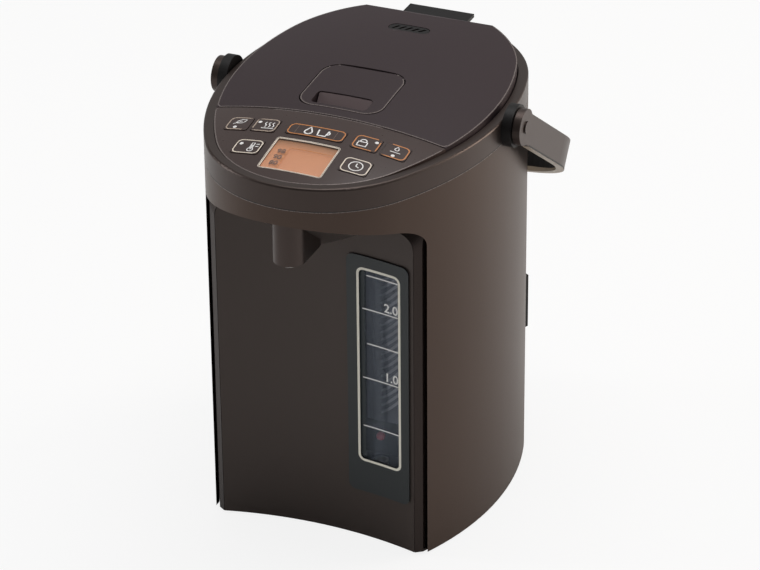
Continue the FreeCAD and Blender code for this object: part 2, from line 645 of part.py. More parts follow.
def build_tank():
    outer = "tank_bore + tank_wall"
    turned("inner_vessel", [
        ("pipe_bore", "tank_floor - tank_wall"), (outer, "tank_floor - tank_wall"),
        (outer, "tank_mouth - tank_wall"), (f"{outer} + tank_lip", "tank_mouth - tank_wall"),
        (f"{outer} + tank_lip", "tank_mouth"), ("tank_bore", "tank_mouth"),
        ("tank_bore", "tank_floor"), ("pipe_bore", "tank_floor")], 0, "tank_centre")
    wide = f"{outer} + vacuum_gap"
    turned("vacuum_wall", [
        (outer, "tank_floor + 6"), (wide, "tank_floor + 6"), (wide, "casing_top - 12"),
        (outer, "casing_top - 12"), (outer, "casing_top - 12 - tank_wall"),
        (f"{wide} - tank_wall", "casing_top - 12 - tank_wall"),
        (f"{wide} - tank_wall", "tank_floor + 6 + tank_wall"), (outer, "tank_floor + 6 + tank_wall")],
        0, "tank_centre")
    turned("heater_plate", [
        ("heater_bore", "tank_floor - tank_wall - heater_thick"),
        ("heater_radius", "tank_floor - tank_wall - heater_thick"),
        ("heater_radius", "tank_floor - tank_wall"), ("heater_bore", "tank_floor - tank_wall")],
        0, "tank_centre")
    turned("filter_mesh", [("pipe_radius + 2", "tank_floor"), ("pipe_radius + 5", "tank_floor"),
                           ("pipe_radius + 5", "tank_floor + 3"), ("pipe_radius", "tank_floor + 7"),
                           ("0", "tank_floor + 7"), ("0", "tank_floor + 5.8"),
                           ("pipe_radius - 0.6", "tank_floor + 5.8"),
                           ("pipe_radius + 2", "tank_floor + 3")], 0, "tank_centre")
    cylinder("thermostat", "8", "7", "16", "tank_centre", "tank_floor - tank_wall - 7")
    cylinder("thermal_fuse", "3", "18", "-18", "tank_centre - 9", "tank_floor - tank_wall - 3", ALONG_Y)


def build_pump():
    """Pump chamber, its impeller, the driving magnet and the motor, on one upright axis."""
    axis = "tank_centre"
    turned("pump_body", [("18", "27"), ("pump_radius", "27"), ("pump_radius", "40"), ("pipe_radius", "42"),
                         ("pipe_bore", "42"), ("pipe_bore", "38"), ("20", "38"), ("20", "28.5"),
                         ("18", "28.5")], 0, axis)
    turned("pump_cover", [("0", "27"), ("17.9", "27"), ("17.9", "28.4"), ("1.5", "28.4"), ("1.5", "31"),
                          ("0", "31")], 0, axis)
    hub = turned("impeller_hub", [("1.56", "29"), ("16", "29"), ("16", "30.5"), ("5", "31.5"), ("5", "35"),
                                  ("1.56", "35")], 0, axis)
    wheel = [hub]
    for number in range(6):
        curl = FreeCAD.Vector(8, -6, 30.2)
        shape = Part.makeCylinder(9.4, 4.5, curl).cut(Part.makeCylinder(8.2, 4.5, curl))
        reach = Part.makeCylinder(15.5, 4.5, FreeCAD.Vector(0, 0, 30.2))
        reach = reach.cut(Part.makeCylinder(4.0, 4.5, FreeCAD.Vector(0, 0, 30.2)))
        shape = shape.common(reach).common(Part.makeBox(14, 18, 4.5, FreeCAD.Vector(2, 0, 30.2)))
        shape.rotate(FreeCAD.Vector(), FreeCAD.Vector(0, 0, 1), number * 60)
        shape.translate(FreeCAD.Vector(0, size("tank_centre"), 0))
        wheel.append(feature(f"vane_{number}", shape))
    fuse("pump_impeller", *wheel)
    turned("motor_magnet", [("1.56", "22.5"), ("13", "22.5"), ("13", "26.5"), ("1.56", "26.5")], 0, axis)
    turned("pump_motor", [("0", "5.8"), ("motor_radius", "5.8"), ("motor_radius", "21.5"), ("4", "21.5"),
                          ("4", "22.2"), ("1.5", "22.2"), ("1.5", "26.5"), ("0", "26.5")], 0, axis)


def build_base():
    gap = "casing_wall + fit_gap"
    block = oval("base_block", gap, "foot_height", "base_thick")
    front = cylinder("base_front", "panel_curve + panel_wall + fit_gap", "20", 0,
                     "-panel_depth - panel_curve", "-5")
    tools = [front]
    for name, start in (("left", "-panel_width - 59"), ("right", "panel_width - 1")):
        tools.append(box(f"base_{name}_corner", "60", "40", "20", start,
                         "-arch_face + frame_back + fit_gap - 40", "-5"))
    for number in range(5):
        x = (number - 2) * 9.0
        tools.append(plate(f"base_slot_{number}", x - 1.5, x + 1.5, 30, 52, 1.4, "-5", "20"))
    cut("base_plate", block, *tools)
    feet = []
    for number, (x, y) in enumerate(((-58, -62), (58, -62), (-52, 82), (52, 82)), 1):
        feet.append(cylinder(f"foot_{number}", "foot_radius", "foot_height", x, y, 0))
    fuse("base_feet", *feet)
    screws = []
    for number, (x, y) in enumerate(((-70, -20), (70, -20), (0, 104)), 1):
        head = cylinder(f"screw_head_{number}", "4", "1.6", x, y, "foot_height - 1.6")
        screws.append(head)
    fuse("base_screws", *screws)
    box("control_board", "70", "36", "1.6", "-35", "56", "foot_height + base_thick + fit_gap")


def build_head():
    """Key field, display and keys."""
    inset = "ring_width + fit_gap"
    field = oval("field_oval", inset, "casing_top", "40")
    above = dome("field_top", "0")
    below = dome("field_under", "field_thick")
    rear = box("field_rear", "240", "240", "60", "-120", "-lid_front", "casing_top - 5")
    sheet_item = cut("field_sheet", common("field_cap", field, above), below, rear)
    holes = []
    for name, (x, y, wide, deep) in KEYS.items():
        holes.append(plate(f"{name}_hole", x - wide / 2, x + wide / 2, -y - deep / 2, -y + deep / 2, 2.0,
                           "casing_top", "40"))
    x, y, wide, deep = LCD
    window = plate("lcd_hole", x - wide / 2, x + wide / 2, -y - deep / 2, -y + deep / 2, 2.0,
                   "casing_top", "40")
    hollow_block = oval("skirt_hollow", f"{inset} + 2", "casing_top - 1", "40")
    hollow_front = box("skirt_front", "240", "200", "60", "-120", "-lid_front - 202", "casing_top - 5")
    skirt = cut("field_skirt", oval("skirt_block", inset, "casing_top", "40"),
                common("field_room", hollow_block, hollow_front), rear)
    holes_item = fuse("field_holes", *holes, window)
    cut("operation_panel", fuse("field_whole", sheet_item, common("field_wall", skirt, above)), holes_item)
    layer = cut("key_layer", dome("key_top", "-key_proud"), dome("key_under", "key_thick - key_proud"))
    for name, (x, y, wide, deep) in KEYS.items():
        half, reach = wide / 2, deep / 2
        block = plate(f"{name}_block", f"{x - half} + key_gap", f"{x + half} - key_gap",
                      f"{-y - reach} + key_gap", f"{-y + reach} - key_gap", 1.8, "casing_top", "40")
        common(name, block, layer)
    x, y, wide, deep = LCD
    for name, top, low in (("lcd_window", "0.2", "1.2"), ("lcd_glass", "1.4", "4.0")):
        block = plate(f"{name}_block", f"{x - wide / 2} + fit_gap", f"{x + wide / 2} - fit_gap",
                      f"{-y - deep / 2} + fit_gap", f"{-y + deep / 2} - fit_gap", 1.7, "casing_top", "40")
        cut(name, common(f"{name}_cap", block, dome(f"{name}_top", top)), dome(f"{name}_under", low))
    return plate("display_board", "-45", "45", "-nozzle_forward + 14", "-lid_front - 5", "6", "casing_top",
                 "1.6")


def build_lid():
    """Lid cover, its base with the plug, the inner plate, the gasket, the lever and the latch."""
    inset = "ring_width + lid_gap"
    front = box("lid_ahead", "240", "200", "80", "-120", "-lid_front - 200 + lid_gap", "casing_top - 20")
    above = dome("lid_top", "0")
    below = dome("lid_under", "lid_wall")
    shell = cut("lid_shell", common("lid_cap", oval("lid_oval", inset, "lid_floor", "40"), above), below,
                front)
    hollow_block = oval("lid_wall_hollow", f"{inset} + lid_wall", "lid_floor", "40")
    hollow_rear = box("lid_room_rear", "240", "240", "60", "-120", "-lid_front + lid_gap + lid_wall",
                      "lid_floor - 5")
    wall = cut("lid_wall_ring", oval("lid_wall_block", inset, "lid_floor + 1", "30"),
               common("lid_room", hollow_block, hollow_rear), front)
    notch = box("lid_notch", "2 * hinge_notch - 0.6", "40", "40", "-hinge_notch + 0.3", "hinge_back - 9",
                "casing_top")
    well = plate("lever_well", "-lever_half", "lever_half", "-lever_front", "lever_back", "lever_corner",
                 "lid_floor", "40")
    vent = plate("vent_well", "-14.3", "14.3", "64.7", "75.3", "5", "lid_floor", "40")
    axle = ("lever_back - lever_gap - barrel_radius", LEVER_LEVEL)
    bosses, pockets = [], []
    for side, start in (("left", "-lever_half"), ("right", "lever_half - 5.5")):
        bosses.append(box(f"{side}_boss", "5.5", "5", "4", start, f"{axle[0]} - 2.5", f"{axle[1]} - 2.2"))
        pockets.append(box(f"{side}_boss_room", "6.5", "6", "20", f"{start} - 0.5", f"{axle[0]} - 3",
                           f"{axle[1]} - 2.5"))
    under = common("lid_bosses", fuse("boss_pair", *bosses), dome("boss_top", "0.5"))
    axle_hole = cylinder("axle_hole", "stub_radius + pin_play", "2 * lever_half - 2", "1 - lever_half", *axle,
                         ALONG_X)
    cut("lid_cover", fuse("lid_cover_whole", shell, common("lid_skirt", wall, above), under), notch, well,
        vent, axle_hole)

    block = common("lid_base_block", oval("lid_base_oval", f"{inset} + lid_wall + fit_gap", "lid_floor", "4"),
                   box("lid_base_rear", "240", "240", "60", "-120",
                       "-lid_front + lid_gap + lid_wall + fit_gap", "lid_floor - 5"))
    plug = turned("lid_plug", [("0", "plug_low + 1.2"), ("plug_radius", "plug_low + 1.2"),
                               ("plug_radius", "lid_floor + 1"), ("0", "lid_floor + 1")], 0, "tank_centre")
    steam = cylinder("lid_steam", "3.5", "40", 0, 58, "plug_low - 2")
    base = cut("lid_base_core", fuse("lid_base_mass", block, plug), front, notch, steam)
    knuckle = cylinder("lid_knuckle", "knuckle_radius", "36", "-18", "hinge_back", "hinge_level", ALONG_X)
    arm = box("lid_arm", "36", "16", "6", "-18", "hinge_back - 16", "lid_floor + 2")
    bore = cylinder("lid_hinge_bore", "pin_radius + pin_play", "60", "-30", "hinge_back", "hinge_level",
                    ALONG_X)
    cut("lid_base", fuse("lid_base_hinged", base, knuckle, arm), bore)

    turned("lid_plate", [("4", "plug_low"), ("plug_radius + 1", "plug_low"),
                         ("plug_radius + 1", "plug_low + 1.2"), ("4", "plug_low + 1.2")], 0, "tank_centre")
    turned("lid_gasket", [
        ("plug_radius", "tank_mouth + fit_gap"), ("gasket_radius + 3", "tank_mouth + fit_gap"),
        ("gasket_radius + 3", "lid_floor"), ("plug_radius", "lid_floor")], 0, "tank_centre")

    flap = plate("lever_block", "-lever_half + lever_gap", "lever_half - lever_gap",
                 "-lever_front + lever_gap", "lever_back - lever_gap", "lever_corner + lever_gap",
                 "lid_floor", "40")
    flap_top = dome("lever_top", "0.1")
    tail = box("lever_tail", "80", "20", "60", "-40", axle[0], "lid_floor - 5")
    sheet_item = cut("lever_sheet", common("lever_cap", cut("lever_plan", flap, tail), flap_top),
                     dome("lever_under", "lever_thick"))
    cup = common("grip_cup", plate("grip_outside", "-grip_half - grip_wall", "grip_half + grip_wall",
                                   "-grip_front - grip_wall", "-grip_back + grip_wall", "4.5",
                                   "grip_floor - grip_wall", "20"), dome("grip_top", "1"))
    grip = plate("lever_grip", "-grip_half", "grip_half", "-grip_front", "-grip_back", "3", "grip_floor",
                 "20")
    barrel = common("lever_barrel", cylinder("barrel_rod", "barrel_radius", "60", "-30", *axle, ALONG_X),
                    flap, dome("barrel_top", "0.1"))
    stubs = cylinder("lever_stubs", "stub_radius", "2 * lever_half - 3", "1.5 - lever_half", *axle, ALONG_X)
    cut("lid_lever", fuse("lever_whole", sheet_item, cup, barrel, stubs), grip)

    tray = plate("tray_block", "-lever_half - 2", "lever_half + 2", "-lever_front - 2", "lever_back + 2",
                 "lever_corner + 2", "lid_floor + 8", "20")
    hollow_tray = plate("tray_hollow", "-lever_half", "lever_half", "-lever_front", "lever_back",
                        "lever_corner", "lid_floor + 9.5", "30")
    cut("lever_tray", common("tray_cap", tray, dome("tray_top", "lid_wall + fit_gap")), hollow_tray, *pockets)
    box("lid_latch", "36", "18", "3", "-18", "-lid_front + lid_gap + lid_wall + fit_gap", "lid_floor + 4.3")

    turned("tipover_cage", [
        ("3.6", "lid_floor + 4"), ("9", "lid_floor + 4"), ("9", "lid_floor + 14"),
        ("7.5", "lid_floor + 14"), ("7.5", "lid_floor + 5.5"), ("3.6", "lid_floor + 5.5")], 0, "58")
    ball = bind(doc.addObject("Part::Sphere", "tipover_ball"), Radius="4.5")
    put(ball, 0, 58, "lid_floor + 8.6")
    vent_plate = common("vent_sheet", plate("vent_block", "-14", "14", "65", "75", "4.8", "lid_floor", "40"),
                        dome("vent_top", "0.2"))
    slots = []
    for number in range(5):
        x = (number - 2) * 4.6
        slot = new_body(f"vent_slot_{number}")
        corners = [(x - 2.5, 67.4), (x - 0.5, 67.4), (x + 2.5, 72.6), (x + 0.5, 72.6)]
        slots.append(pad(slot, outline_sketch(slot, f"vent_slot_{number}_outline", "XY_Plane", corners,
                                              "lid_floor"), "40"))
    cut("steam_vent", vent_plate, dome("vent_under", "2.6"), fuse("vent_slots", *slots))


def build_hinge():
    """The hinge ears on the head base, their pin, and the catch that lets the lid off."""
    pin = cylinder("hinge_pin", "pin_radius", "46", "-23", "hinge_back", "hinge_level", ALONG_X)
    ears = []
    for number, start in enumerate(("-23", "18.5"), 1):
        stem = box(f"hinge_ear_{number}", "4.5", "9", "hinge_level - casing_top + fit_gap", start,
                   "hinge_back - 4.5", "casing_top - fit_gap")
        knob = cylinder(f"hinge_knob_{number}", "knuckle_radius", "4.5", start, "hinge_back", "hinge_level",
                        ALONG_X)
        ears += [stem, knob]
    bore = cylinder("hinge_bore", "pin_radius", "60", "-30", "hinge_back", "hinge_level", ALONG_X)
    room = oval("hinge_room", "casing_wall + fit_gap", "casing_top - fit_gap", "60")
    cut("hinge_bracket", common("hinge_ears_inside", fuse("hinge_ears", *ears), room), bore)
    top = box("release_top", "46", "15.5", "2.4", "-23", "hinge_back - 6",
              "hinge_level + knuckle_radius + fit_gap")
    skirt = box("release_skirt", "36.6", "2", "11", "-18.3", "hinge_back + 7.5", "hinge_level - 5")
    fuse("lid_release", top, skirt)
    return pin


def build_handle():
    """A flat band bent round the rear, with ears, folded down behind the pot."""
    reach, half, curve = size("bail_reach"), size("bail_half"), size("bail_curve")
    thick, band = size("bail_thick"), size("bail_band")

    def loop(inward):
        wide, far, turn = half - inward, reach - inward, curve - inward
        left, right = FreeCAD.Vector(-wide, 0), FreeCAD.Vector(wide, 0)
        side, corner = far - turn, wide - turn
        mid = turn * math.sqrt(0.5)
        return [Part.makeLine(right, FreeCAD.Vector(wide, side)),
                Part.Arc(FreeCAD.Vector(wide, side), FreeCAD.Vector(corner + mid, side + mid),
                         FreeCAD.Vector(corner, far)).toShape(),
                Part.makeLine(FreeCAD.Vector(corner, far), FreeCAD.Vector(-corner, far)),
                Part.Arc(FreeCAD.Vector(-corner, far), FreeCAD.Vector(-corner - mid, side + mid),
                         FreeCAD.Vector(-wide, side)).toShape(),
                Part.makeLine(FreeCAD.Vector(-wide, side), left)]

    outer, inner = loop(0), loop(thick)
    ends = [Part.makeLine(FreeCAD.Vector(-half, 0), FreeCAD.Vector(-half + thick, 0)),
            Part.makeLine(FreeCAD.Vector(half - thick, 0), FreeCAD.Vector(half, 0))]
    wire = Part.Wire(Part.__sortEdges__(outer + inner + ends))
    strip = Part.Face(wire).extrude(FreeCAD.Vector(0, 0, band))
    strip.translate(FreeCAD.Vector(0, 0, -band / 2))
    for side in (-1, 1):
        start = half - thick if side > 0 else -half
        disc = Part.makeCylinder(band / 2 + 2, thick, FreeCAD.Vector(start, 0, 0), FreeCAD.Vector(1, 0, 0))
        strip = strip.fuse(disc)
    hole = Part.makeCylinder(4 + size("pin_play"), 2 * half + 10, FreeCAD.Vector(-half - 5, 0, 0),
                             FreeCAD.Vector(1, 0, 0))
    item = feature("handle_bail", strip.cut(hole).removeSplitter())
    item.Placement = FreeCAD.Placement(FreeCAD.Vector(0, size("bail_back"), size("bail_level")),
                                       FreeCAD.Rotation(FreeCAD.Vector(1, 0, 0), -size("bail_droop")))
    ears, screws = [], []
    body = oval("ear_room", "-0.02", "casing_top - 40", "80")
    for side, start in (("left", "-ear_out"), ("right", "ear_out - 12")):
        disc = cylinder(f"{side}_ear_disc", "ear_radius", "12", start, "bail_back", "bail_level", ALONG_X)
        ears.append(cut(f"{side}_ear", disc, body))
    fuse("handle_ears", *ears)
    for side, start in (("left", "-bail_half - 1"), ("right", "ear_out")):
        length = "bail_half - ear_out + 1"
        screws.append(cylinder(f"{side}_screw", "4", length, start, "bail_back", "bail_level", ALONG_X))
    fuse("handle_screws", *screws)


def build_inlet():
    """The socket for the magnetic lead, low on the right of the rear."""
    turn = FreeCAD.Rotation(FreeCAD.Vector(0, 0, 1), -size("inlet_angle"))
    centre = FreeCAD.Vector(0, size("rear_centre"), 0)
    out = size("rear_curve") + size("inlet_out")
    wide, low, high = size("inlet_wide"), size("inlet_low"), size("inlet_high")
    face = Part.makePolygon([FreeCAD.Vector(0, 60, low), FreeCAD.Vector(0, out, low + 4),
                             FreeCAD.Vector(0, out, high - 12), FreeCAD.Vector(0, 60, high + 16),
                             FreeCAD.Vector(0, 60, low)])
    solid = Part.Face(face).extrude(FreeCAD.Vector(wide, 0, 0))
    solid.translate(FreeCAD.Vector(-wide / 2, 0, 0))
    drum = Part.makeCylinder(size("rear_curve") + 0.02, 200, FreeCAD.Vector())
    solid = solid.cut(drum)
    mouth = Part.makeBox(wide - 12, 9, high - low - 30, FreeCAD.Vector(6 - wide / 2, out - 7, low + 10))
    solid = solid.cut(mouth)
    place = FreeCAD.Placement(centre, turn)
    item = feature("inlet_housing", solid)
    item.Placement = place
    pins = []
    for x in (-7.0, 7.0):
        pins.append(Part.makeCylinder(2, 5, FreeCAD.Vector(x, out - 7, (low + high) / 2 - 5),
                                      FreeCAD.Vector(0, 1, 0)))
    item = feature("inlet_pins", Part.Compound(pins))
    item.Placement = place


NODES = [
    "outer_casing", "head_ring", "head_base", "front_cowl", "front_panel", "panel_frame", "gauge_bezel",
    "gauge_window", "gauge_backing", "gauge_tube", "gauge_float", "operation_panel", "lcd_window",
    "lcd_glass", "display_board", "spout_nozzle", "spout_ring", "spout_pipe", "tube_elbow", "pump_elbow",
    "inner_vessel", "vacuum_wall", "heater_plate", "filter_mesh", "thermostat", "thermal_fuse",
    "pump_body", "pump_cover", "pump_impeller", "motor_magnet", "pump_motor", "control_board",
    "base_plate", "base_feet", "base_screws", "lid_cover", "lid_base", "lid_plate", "lid_gasket",
    "lid_lever", "lever_tray", "lid_latch", "tipover_cage", "tipover_ball", "steam_vent", "hinge_pin",
    "hinge_bracket", "lid_release", "handle_bail", "handle_ears", "handle_screws", "inlet_housing",
    "inlet_pins", *KEYS,
]


def check_and_write():
    """Refuse failed objects and bad shapes, then write each sub-part to its own file."""
    doc.recompute()
    failed = [item.Name for item in doc.Objects if {"Invalid", "Error"} & set(item.State)]
    if failed:
        raise RuntimeError(f"failed: {failed}")
    os.makedirs("parts", exist_ok=True)
    for name in NODES:
        item = doc.getObject(name)
        item.Label = name
        shape = item.Shape
        if shape.isNull() or not shape.isValid() or not shape.Solids:
            raise RuntimeError(f"{name} has no good shape")
        shape.exportStep(f"parts/{name}.step")
        print(name, len(shape.Solids), round(shape.Volume), [round(v, 1) for v in (
            shape.BoundBox.XMin, shape.BoundBox.XMax, shape.BoundBox.YMin, shape.BoundBox.YMax,
            shape.BoundBox.ZMin, shape.BoundBox.ZMax)])


fill_sheet()
build_casing()
build_ring()
build_head_base()
build_front()
build_cowl()
build_spout()
build_gauge()
build_pipes()
build_tank()
build_pump()
build_base()
build_head()
build_lid()
build_hinge()
build_handle()
build_inlet()
check_and_write()
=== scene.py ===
# %% [markdown]
# # An electric thermo pot, finished in Blender
#
# The pot arrives as a fixed frame of named pieces at their real size: casing, head ring, lid, keys,
# gauge, handle and what is inside. This lesson gives each piece its finish and adds what is printed,
# lit or too fine for the construction model. Nothing of the frame is moved or resized.

import json
import math

import bmesh
import bpy
from mathutils import Matrix, Vector
from mathutils.bvhtree import BVHTree


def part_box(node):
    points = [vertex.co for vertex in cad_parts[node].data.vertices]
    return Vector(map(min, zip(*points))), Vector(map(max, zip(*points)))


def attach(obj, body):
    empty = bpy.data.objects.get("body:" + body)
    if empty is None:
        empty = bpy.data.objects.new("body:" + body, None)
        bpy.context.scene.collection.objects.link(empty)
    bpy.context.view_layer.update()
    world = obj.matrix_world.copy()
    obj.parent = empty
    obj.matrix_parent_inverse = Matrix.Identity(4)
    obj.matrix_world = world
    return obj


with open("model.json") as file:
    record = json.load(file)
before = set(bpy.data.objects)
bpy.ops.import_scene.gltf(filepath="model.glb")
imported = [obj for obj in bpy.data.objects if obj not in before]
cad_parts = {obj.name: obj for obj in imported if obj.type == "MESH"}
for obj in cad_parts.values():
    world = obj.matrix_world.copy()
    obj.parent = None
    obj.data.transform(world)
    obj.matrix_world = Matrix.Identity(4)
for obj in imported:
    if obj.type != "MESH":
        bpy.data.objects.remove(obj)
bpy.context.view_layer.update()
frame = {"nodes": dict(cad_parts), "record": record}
nodes = frame["nodes"]
MM = 0.001
print("pieces in the frame:", len(nodes))

# %% [markdown]
# ## Camera
#
# The photograph is a product shot from above the front right corner, taken with a long lens. A long
# lens keeps the verticals nearly parallel, so the camera stands 2.4 m away. Its place is given as an
# angle round the pot, an angle above it and a small sideways step that centres the pot.

# %% Camera at the photograph's angle
TURN, RISE, ROLL = math.radians(23.047), math.radians(28.831), math.radians(-0.53)
AIM = Vector((0, -11.5, 165)) * MM
DISTANCE = 2.4045
STEP_RIGHT, STEP_UP = 0.01127, -0.0162
LENS = 173.96

ahead = Vector((-math.sin(TURN) * math.cos(RISE), math.cos(TURN) * math.cos(RISE), -math.sin(RISE)))
right = Vector((math.cos(TURN), math.sin(TURN), 0))
up = right.cross(ahead)
camera = bpy.data.objects.new("camera", bpy.data.cameras.new("camera"))
camera.data.lens = LENS
camera.data.clip_end = 20
rolled_right = right * math.cos(ROLL) + up * math.sin(ROLL)
rolled_up = up * math.cos(ROLL) - right * math.sin(ROLL)
turn = Matrix((rolled_right, rolled_up, -ahead)).transposed().to_4x4()
camera.matrix_world = Matrix.Translation(AIM - ahead * DISTANCE + right * STEP_RIGHT + up * STEP_UP) @ turn
bpy.context.scene.collection.objects.link(camera)
bpy.context.scene.camera = camera
bpy.context.scene.view_settings.view_transform = "Standard"
print("camera stands", round(camera.location.length, 2), "m away")

# %% [markdown]
# ## Node helpers
#
# Every material is a small node tree. Three short helpers keep the trees readable: one adds a node
# and sets its values, one makes a colour ramp, and one makes a material with its main shader ready.


# %% Helpers for node trees
def add(tree, kind, **values):
    """Add a node, then set its properties or its unlinked inputs by name."""
    node = tree.nodes.new(kind)
    for name, value in values.items():
        plain = name.replace("_", " ")
        if hasattr(node, name):
            setattr(node, name, value)
        else:
            node.inputs[plain].default_value = value
    return node


def ramp(tree, stops):
    """A colour ramp with the given (place, colour) stops."""
    node = tree.nodes.new("ShaderNodeValToRGB")
    band = node.color_ramp
    while len(band.elements) < len(stops):
        band.elements.new(0.5)
    for element, (place, colour) in zip(band.elements, stops):
        element.position = place
        element.color = (*colour, 1)
    return node


def new_material(name, base, rough, **shader_values):
    """A material whose main shader has its plain values set on its own sockets."""
    material = bpy.data.materials.new(name)
    material.use_nodes = True
    shader = material.node_tree.nodes["Principled BSDF"]
    shader.inputs["Base Color"].default_value = (*base, 1)
    shader.inputs["Roughness"].default_value = rough
    for key, value in shader_values.items():
        shader.inputs[key.replace("_", " ")].default_value = value
    return material, material.node_tree, shader


# %% [markdown]
# ## Finishes that several materials share
#
# Moulded plastic is never one flat colour: its tone drifts a little, and a fine grain breaks up its
# highlights. Both come from noise on Object coordinates, so they stay on the surface in every view.
# They are built once as a node group with named inputs and placed in each material with its own
# values.


# %% The grain group
def grain_group():
    """A colour and a roughness that vary a little round their plain values, and a height for a bump."""
    tree = bpy.data.node_groups.new("moulded_grain", "ShaderNodeTree")
    make = tree.interface.new_socket
    for name, kind, value in (("Base", "NodeSocketColor", (0.1, 0.1, 0.1, 1)),
                              ("Drift", "NodeSocketFloat", 0.1), ("Scale", "NodeSocketFloat", 900.0),
                              ("Rough", "NodeSocketFloat", 0.4), ("Spread", "NodeSocketFloat", 0.06)):
        make(name, in_out="INPUT", socket_type=kind).default_value = value
    for name, kind in (("Color", "NodeSocketColor"), ("Roughness", "NodeSocketFloat"),
                       ("Height", "NodeSocketFloat")):
        make(name, in_out="OUTPUT", socket_type=kind)
    start, end = tree.nodes.new("NodeGroupInput"), tree.nodes.new("NodeGroupOutput")
    place = add(tree, "ShaderNodeTexCoord")
    wide = add(tree, "ShaderNodeTexNoise", Scale=9.0, Detail=3.0)
    fine = add(tree, "ShaderNodeTexNoise", Detail=2.0)
    tree.links.new(place.outputs["Object"], wide.inputs["Vector"])
    tree.links.new(place.outputs["Object"], fine.inputs["Vector"])
    tree.links.new(start.outputs["Scale"], fine.inputs["Scale"])
    sway = add(tree, "ShaderNodeMath", operation="MULTIPLY_ADD")
    tree.links.new(wide.outputs["Fac"], sway.inputs[0])
    tree.links.new(start.outputs["Drift"], sway.inputs[1])
    sway.inputs[2].default_value = 1.0
    half = add(tree, "ShaderNodeMath", operation="MULTIPLY")
    tree.links.new(start.outputs["Drift"], half.inputs[0])
    half.inputs[1].default_value = 0.5
    level = add(tree, "ShaderNodeMath", operation="SUBTRACT")
    tree.links.new(sway.outputs[0], level.inputs[0])
    tree.links.new(half.outputs[0], level.inputs[1])
    tone = add(tree, "ShaderNodeVectorMath", operation="SCALE")
    tree.links.new(start.outputs["Base"], tone.inputs[0])
    tree.links.new(level.outputs[0], tone.inputs["Scale"])
    tree.links.new(tone.outputs[0], end.inputs["Color"])
    spread = add(tree, "ShaderNodeMath", operation="MULTIPLY_ADD")
    tree.links.new(fine.outputs["Fac"], spread.inputs[0])
    tree.links.new(start.outputs["Spread"], spread.inputs[1])
    tree.links.new(start.outputs["Rough"], spread.inputs[2])
    tree.links.new(spread.outputs[0], end.inputs["Roughness"])
    tree.links.new(fine.outputs["Fac"], end.inputs["Height"])
    return tree


GRAIN = grain_group()


def moulded(name, base, rough, drift=0.12, scale=900.0, spread=0.08, bump=0.03, **shader_values):
    """A plastic or painted finish with tone drift, roughness grain and a faint bump."""
    material, tree, shader = new_material(name, base, rough, **shader_values)
    group = tree.nodes.new("ShaderNodeGroup")
    group.node_tree = GRAIN
    group.inputs["Base"].default_value = (*base, 1)
    group.inputs["Drift"].default_value = drift
    group.inputs["Scale"].default_value = scale
    group.inputs["Rough"].default_value = rough
    group.inputs["Spread"].default_value = spread
    tree.links.new(group.outputs["Color"], shader.inputs["Base Color"])
    tree.links.new(group.outputs["Roughness"], shader.inputs["Roughness"])
    if bump:
        dent = add(tree, "ShaderNodeBump", Strength=bump, Distance=0.0004)
        tree.links.new(group.outputs["Height"], dent.inputs["Height"])
        tree.links.new(dent.outputs["Normal"], shader.inputs["Normal"])
    return material


# %% [markdown]
# ## The pot's materials
#
# The casing is coated steel: a brown metallic paint under a thin clear layer. The head ring and the
# handle are moulded plastic in the same brown, the lid is the same colour but matte, and the key
# field is a glossy printed film.

# %% Materials by name
# Each row gives the base colour, the roughness, the drift of the tone, the scale of the grain, the
# spread of the roughness, the strength of the bump, and the shader's other values.
MOULDED = {
    "casing_brown": ((0.080, 0.055, 0.044), 0.36, 0.10, 1500, 0.08, 0.02,
                     {"Metallic": 0.85, "Coat_Weight": 0.08, "Coat_Roughness": 0.3}),
    "head_brown": ((0.066, 0.048, 0.042), 0.34, 0.10, 1200, 0.06, 0.02,
                   {"Metallic": 0.7, "Coat_Weight": 0.08, "Coat_Roughness": 0.3}),
    "lid_brown": ((0.036, 0.023, 0.026), 0.46, 0.08, 1400, 0.08, 0.05, {"Specular_IOR_Level": 0.28}),
    "field_film": ((0.052, 0.032, 0.028), 0.26, 0.08, 700, 0.05, 0.01,
                   {"Specular_IOR_Level": 0.4, "Coat_Weight": 0.15, "Coat_Roughness": 0.12}),
    "panel_brown": ((0.060, 0.045, 0.039), 0.38, 0.10, 1200, 0.08, 0.03, {"Metallic": 0.45}),
    "frame_black": ((0.030, 0.020, 0.017), 0.20, 0.1, 900, 0.05, 0.0,
                    {"Metallic": 0.7, "Coat_Weight": 0.1, "Coat_Roughness": 0.06}),
    "bezel_dark": ((0.018, 0.023, 0.025), 0.36, 0.1, 900, 0.06, 0.02, {}),
    "dark_plastic": ((0.007, 0.006, 0.006), 0.42, 0.15, 800, 0.1, 0.05, {"Specular_IOR_Level": 0.3}),
    "float_red": ((0.62, 0.02, 0.03), 0.25, 0.1, 900, 0.05, 0.0, {}),
    "pipe_rubber": ((0.62, 0.60, 0.55), 0.45, 0.1, 600, 0.1, 0.03, {}),
    "seal_rubber": ((0.11, 0.11, 0.11), 0.6, 0.15, 700, 0.1, 0.05, {}),
    "white_plastic": ((0.7, 0.69, 0.66), 0.42, 0.06, 900, 0.08, 0.03, {}),
    "board_green": ((0.03, 0.14, 0.06), 0.35, 0.2, 500, 0.1, 0.02, {}),
    "copper_metal": ((0.75, 0.48, 0.25), 0.3, 0.1, 900, 0.1, 0.02, {"Metallic": 1.0}),
    "bright_metal": ((0.75, 0.74, 0.72), 0.16, 0.06, 900, 0.08, 0.01, {"Metallic": 1.0}),
}
FINISH = {name: moulded(name, *plain, **extra) for name, (*plain, extra) in MOULDED.items()}
print("moulded finishes:", len(FINISH))


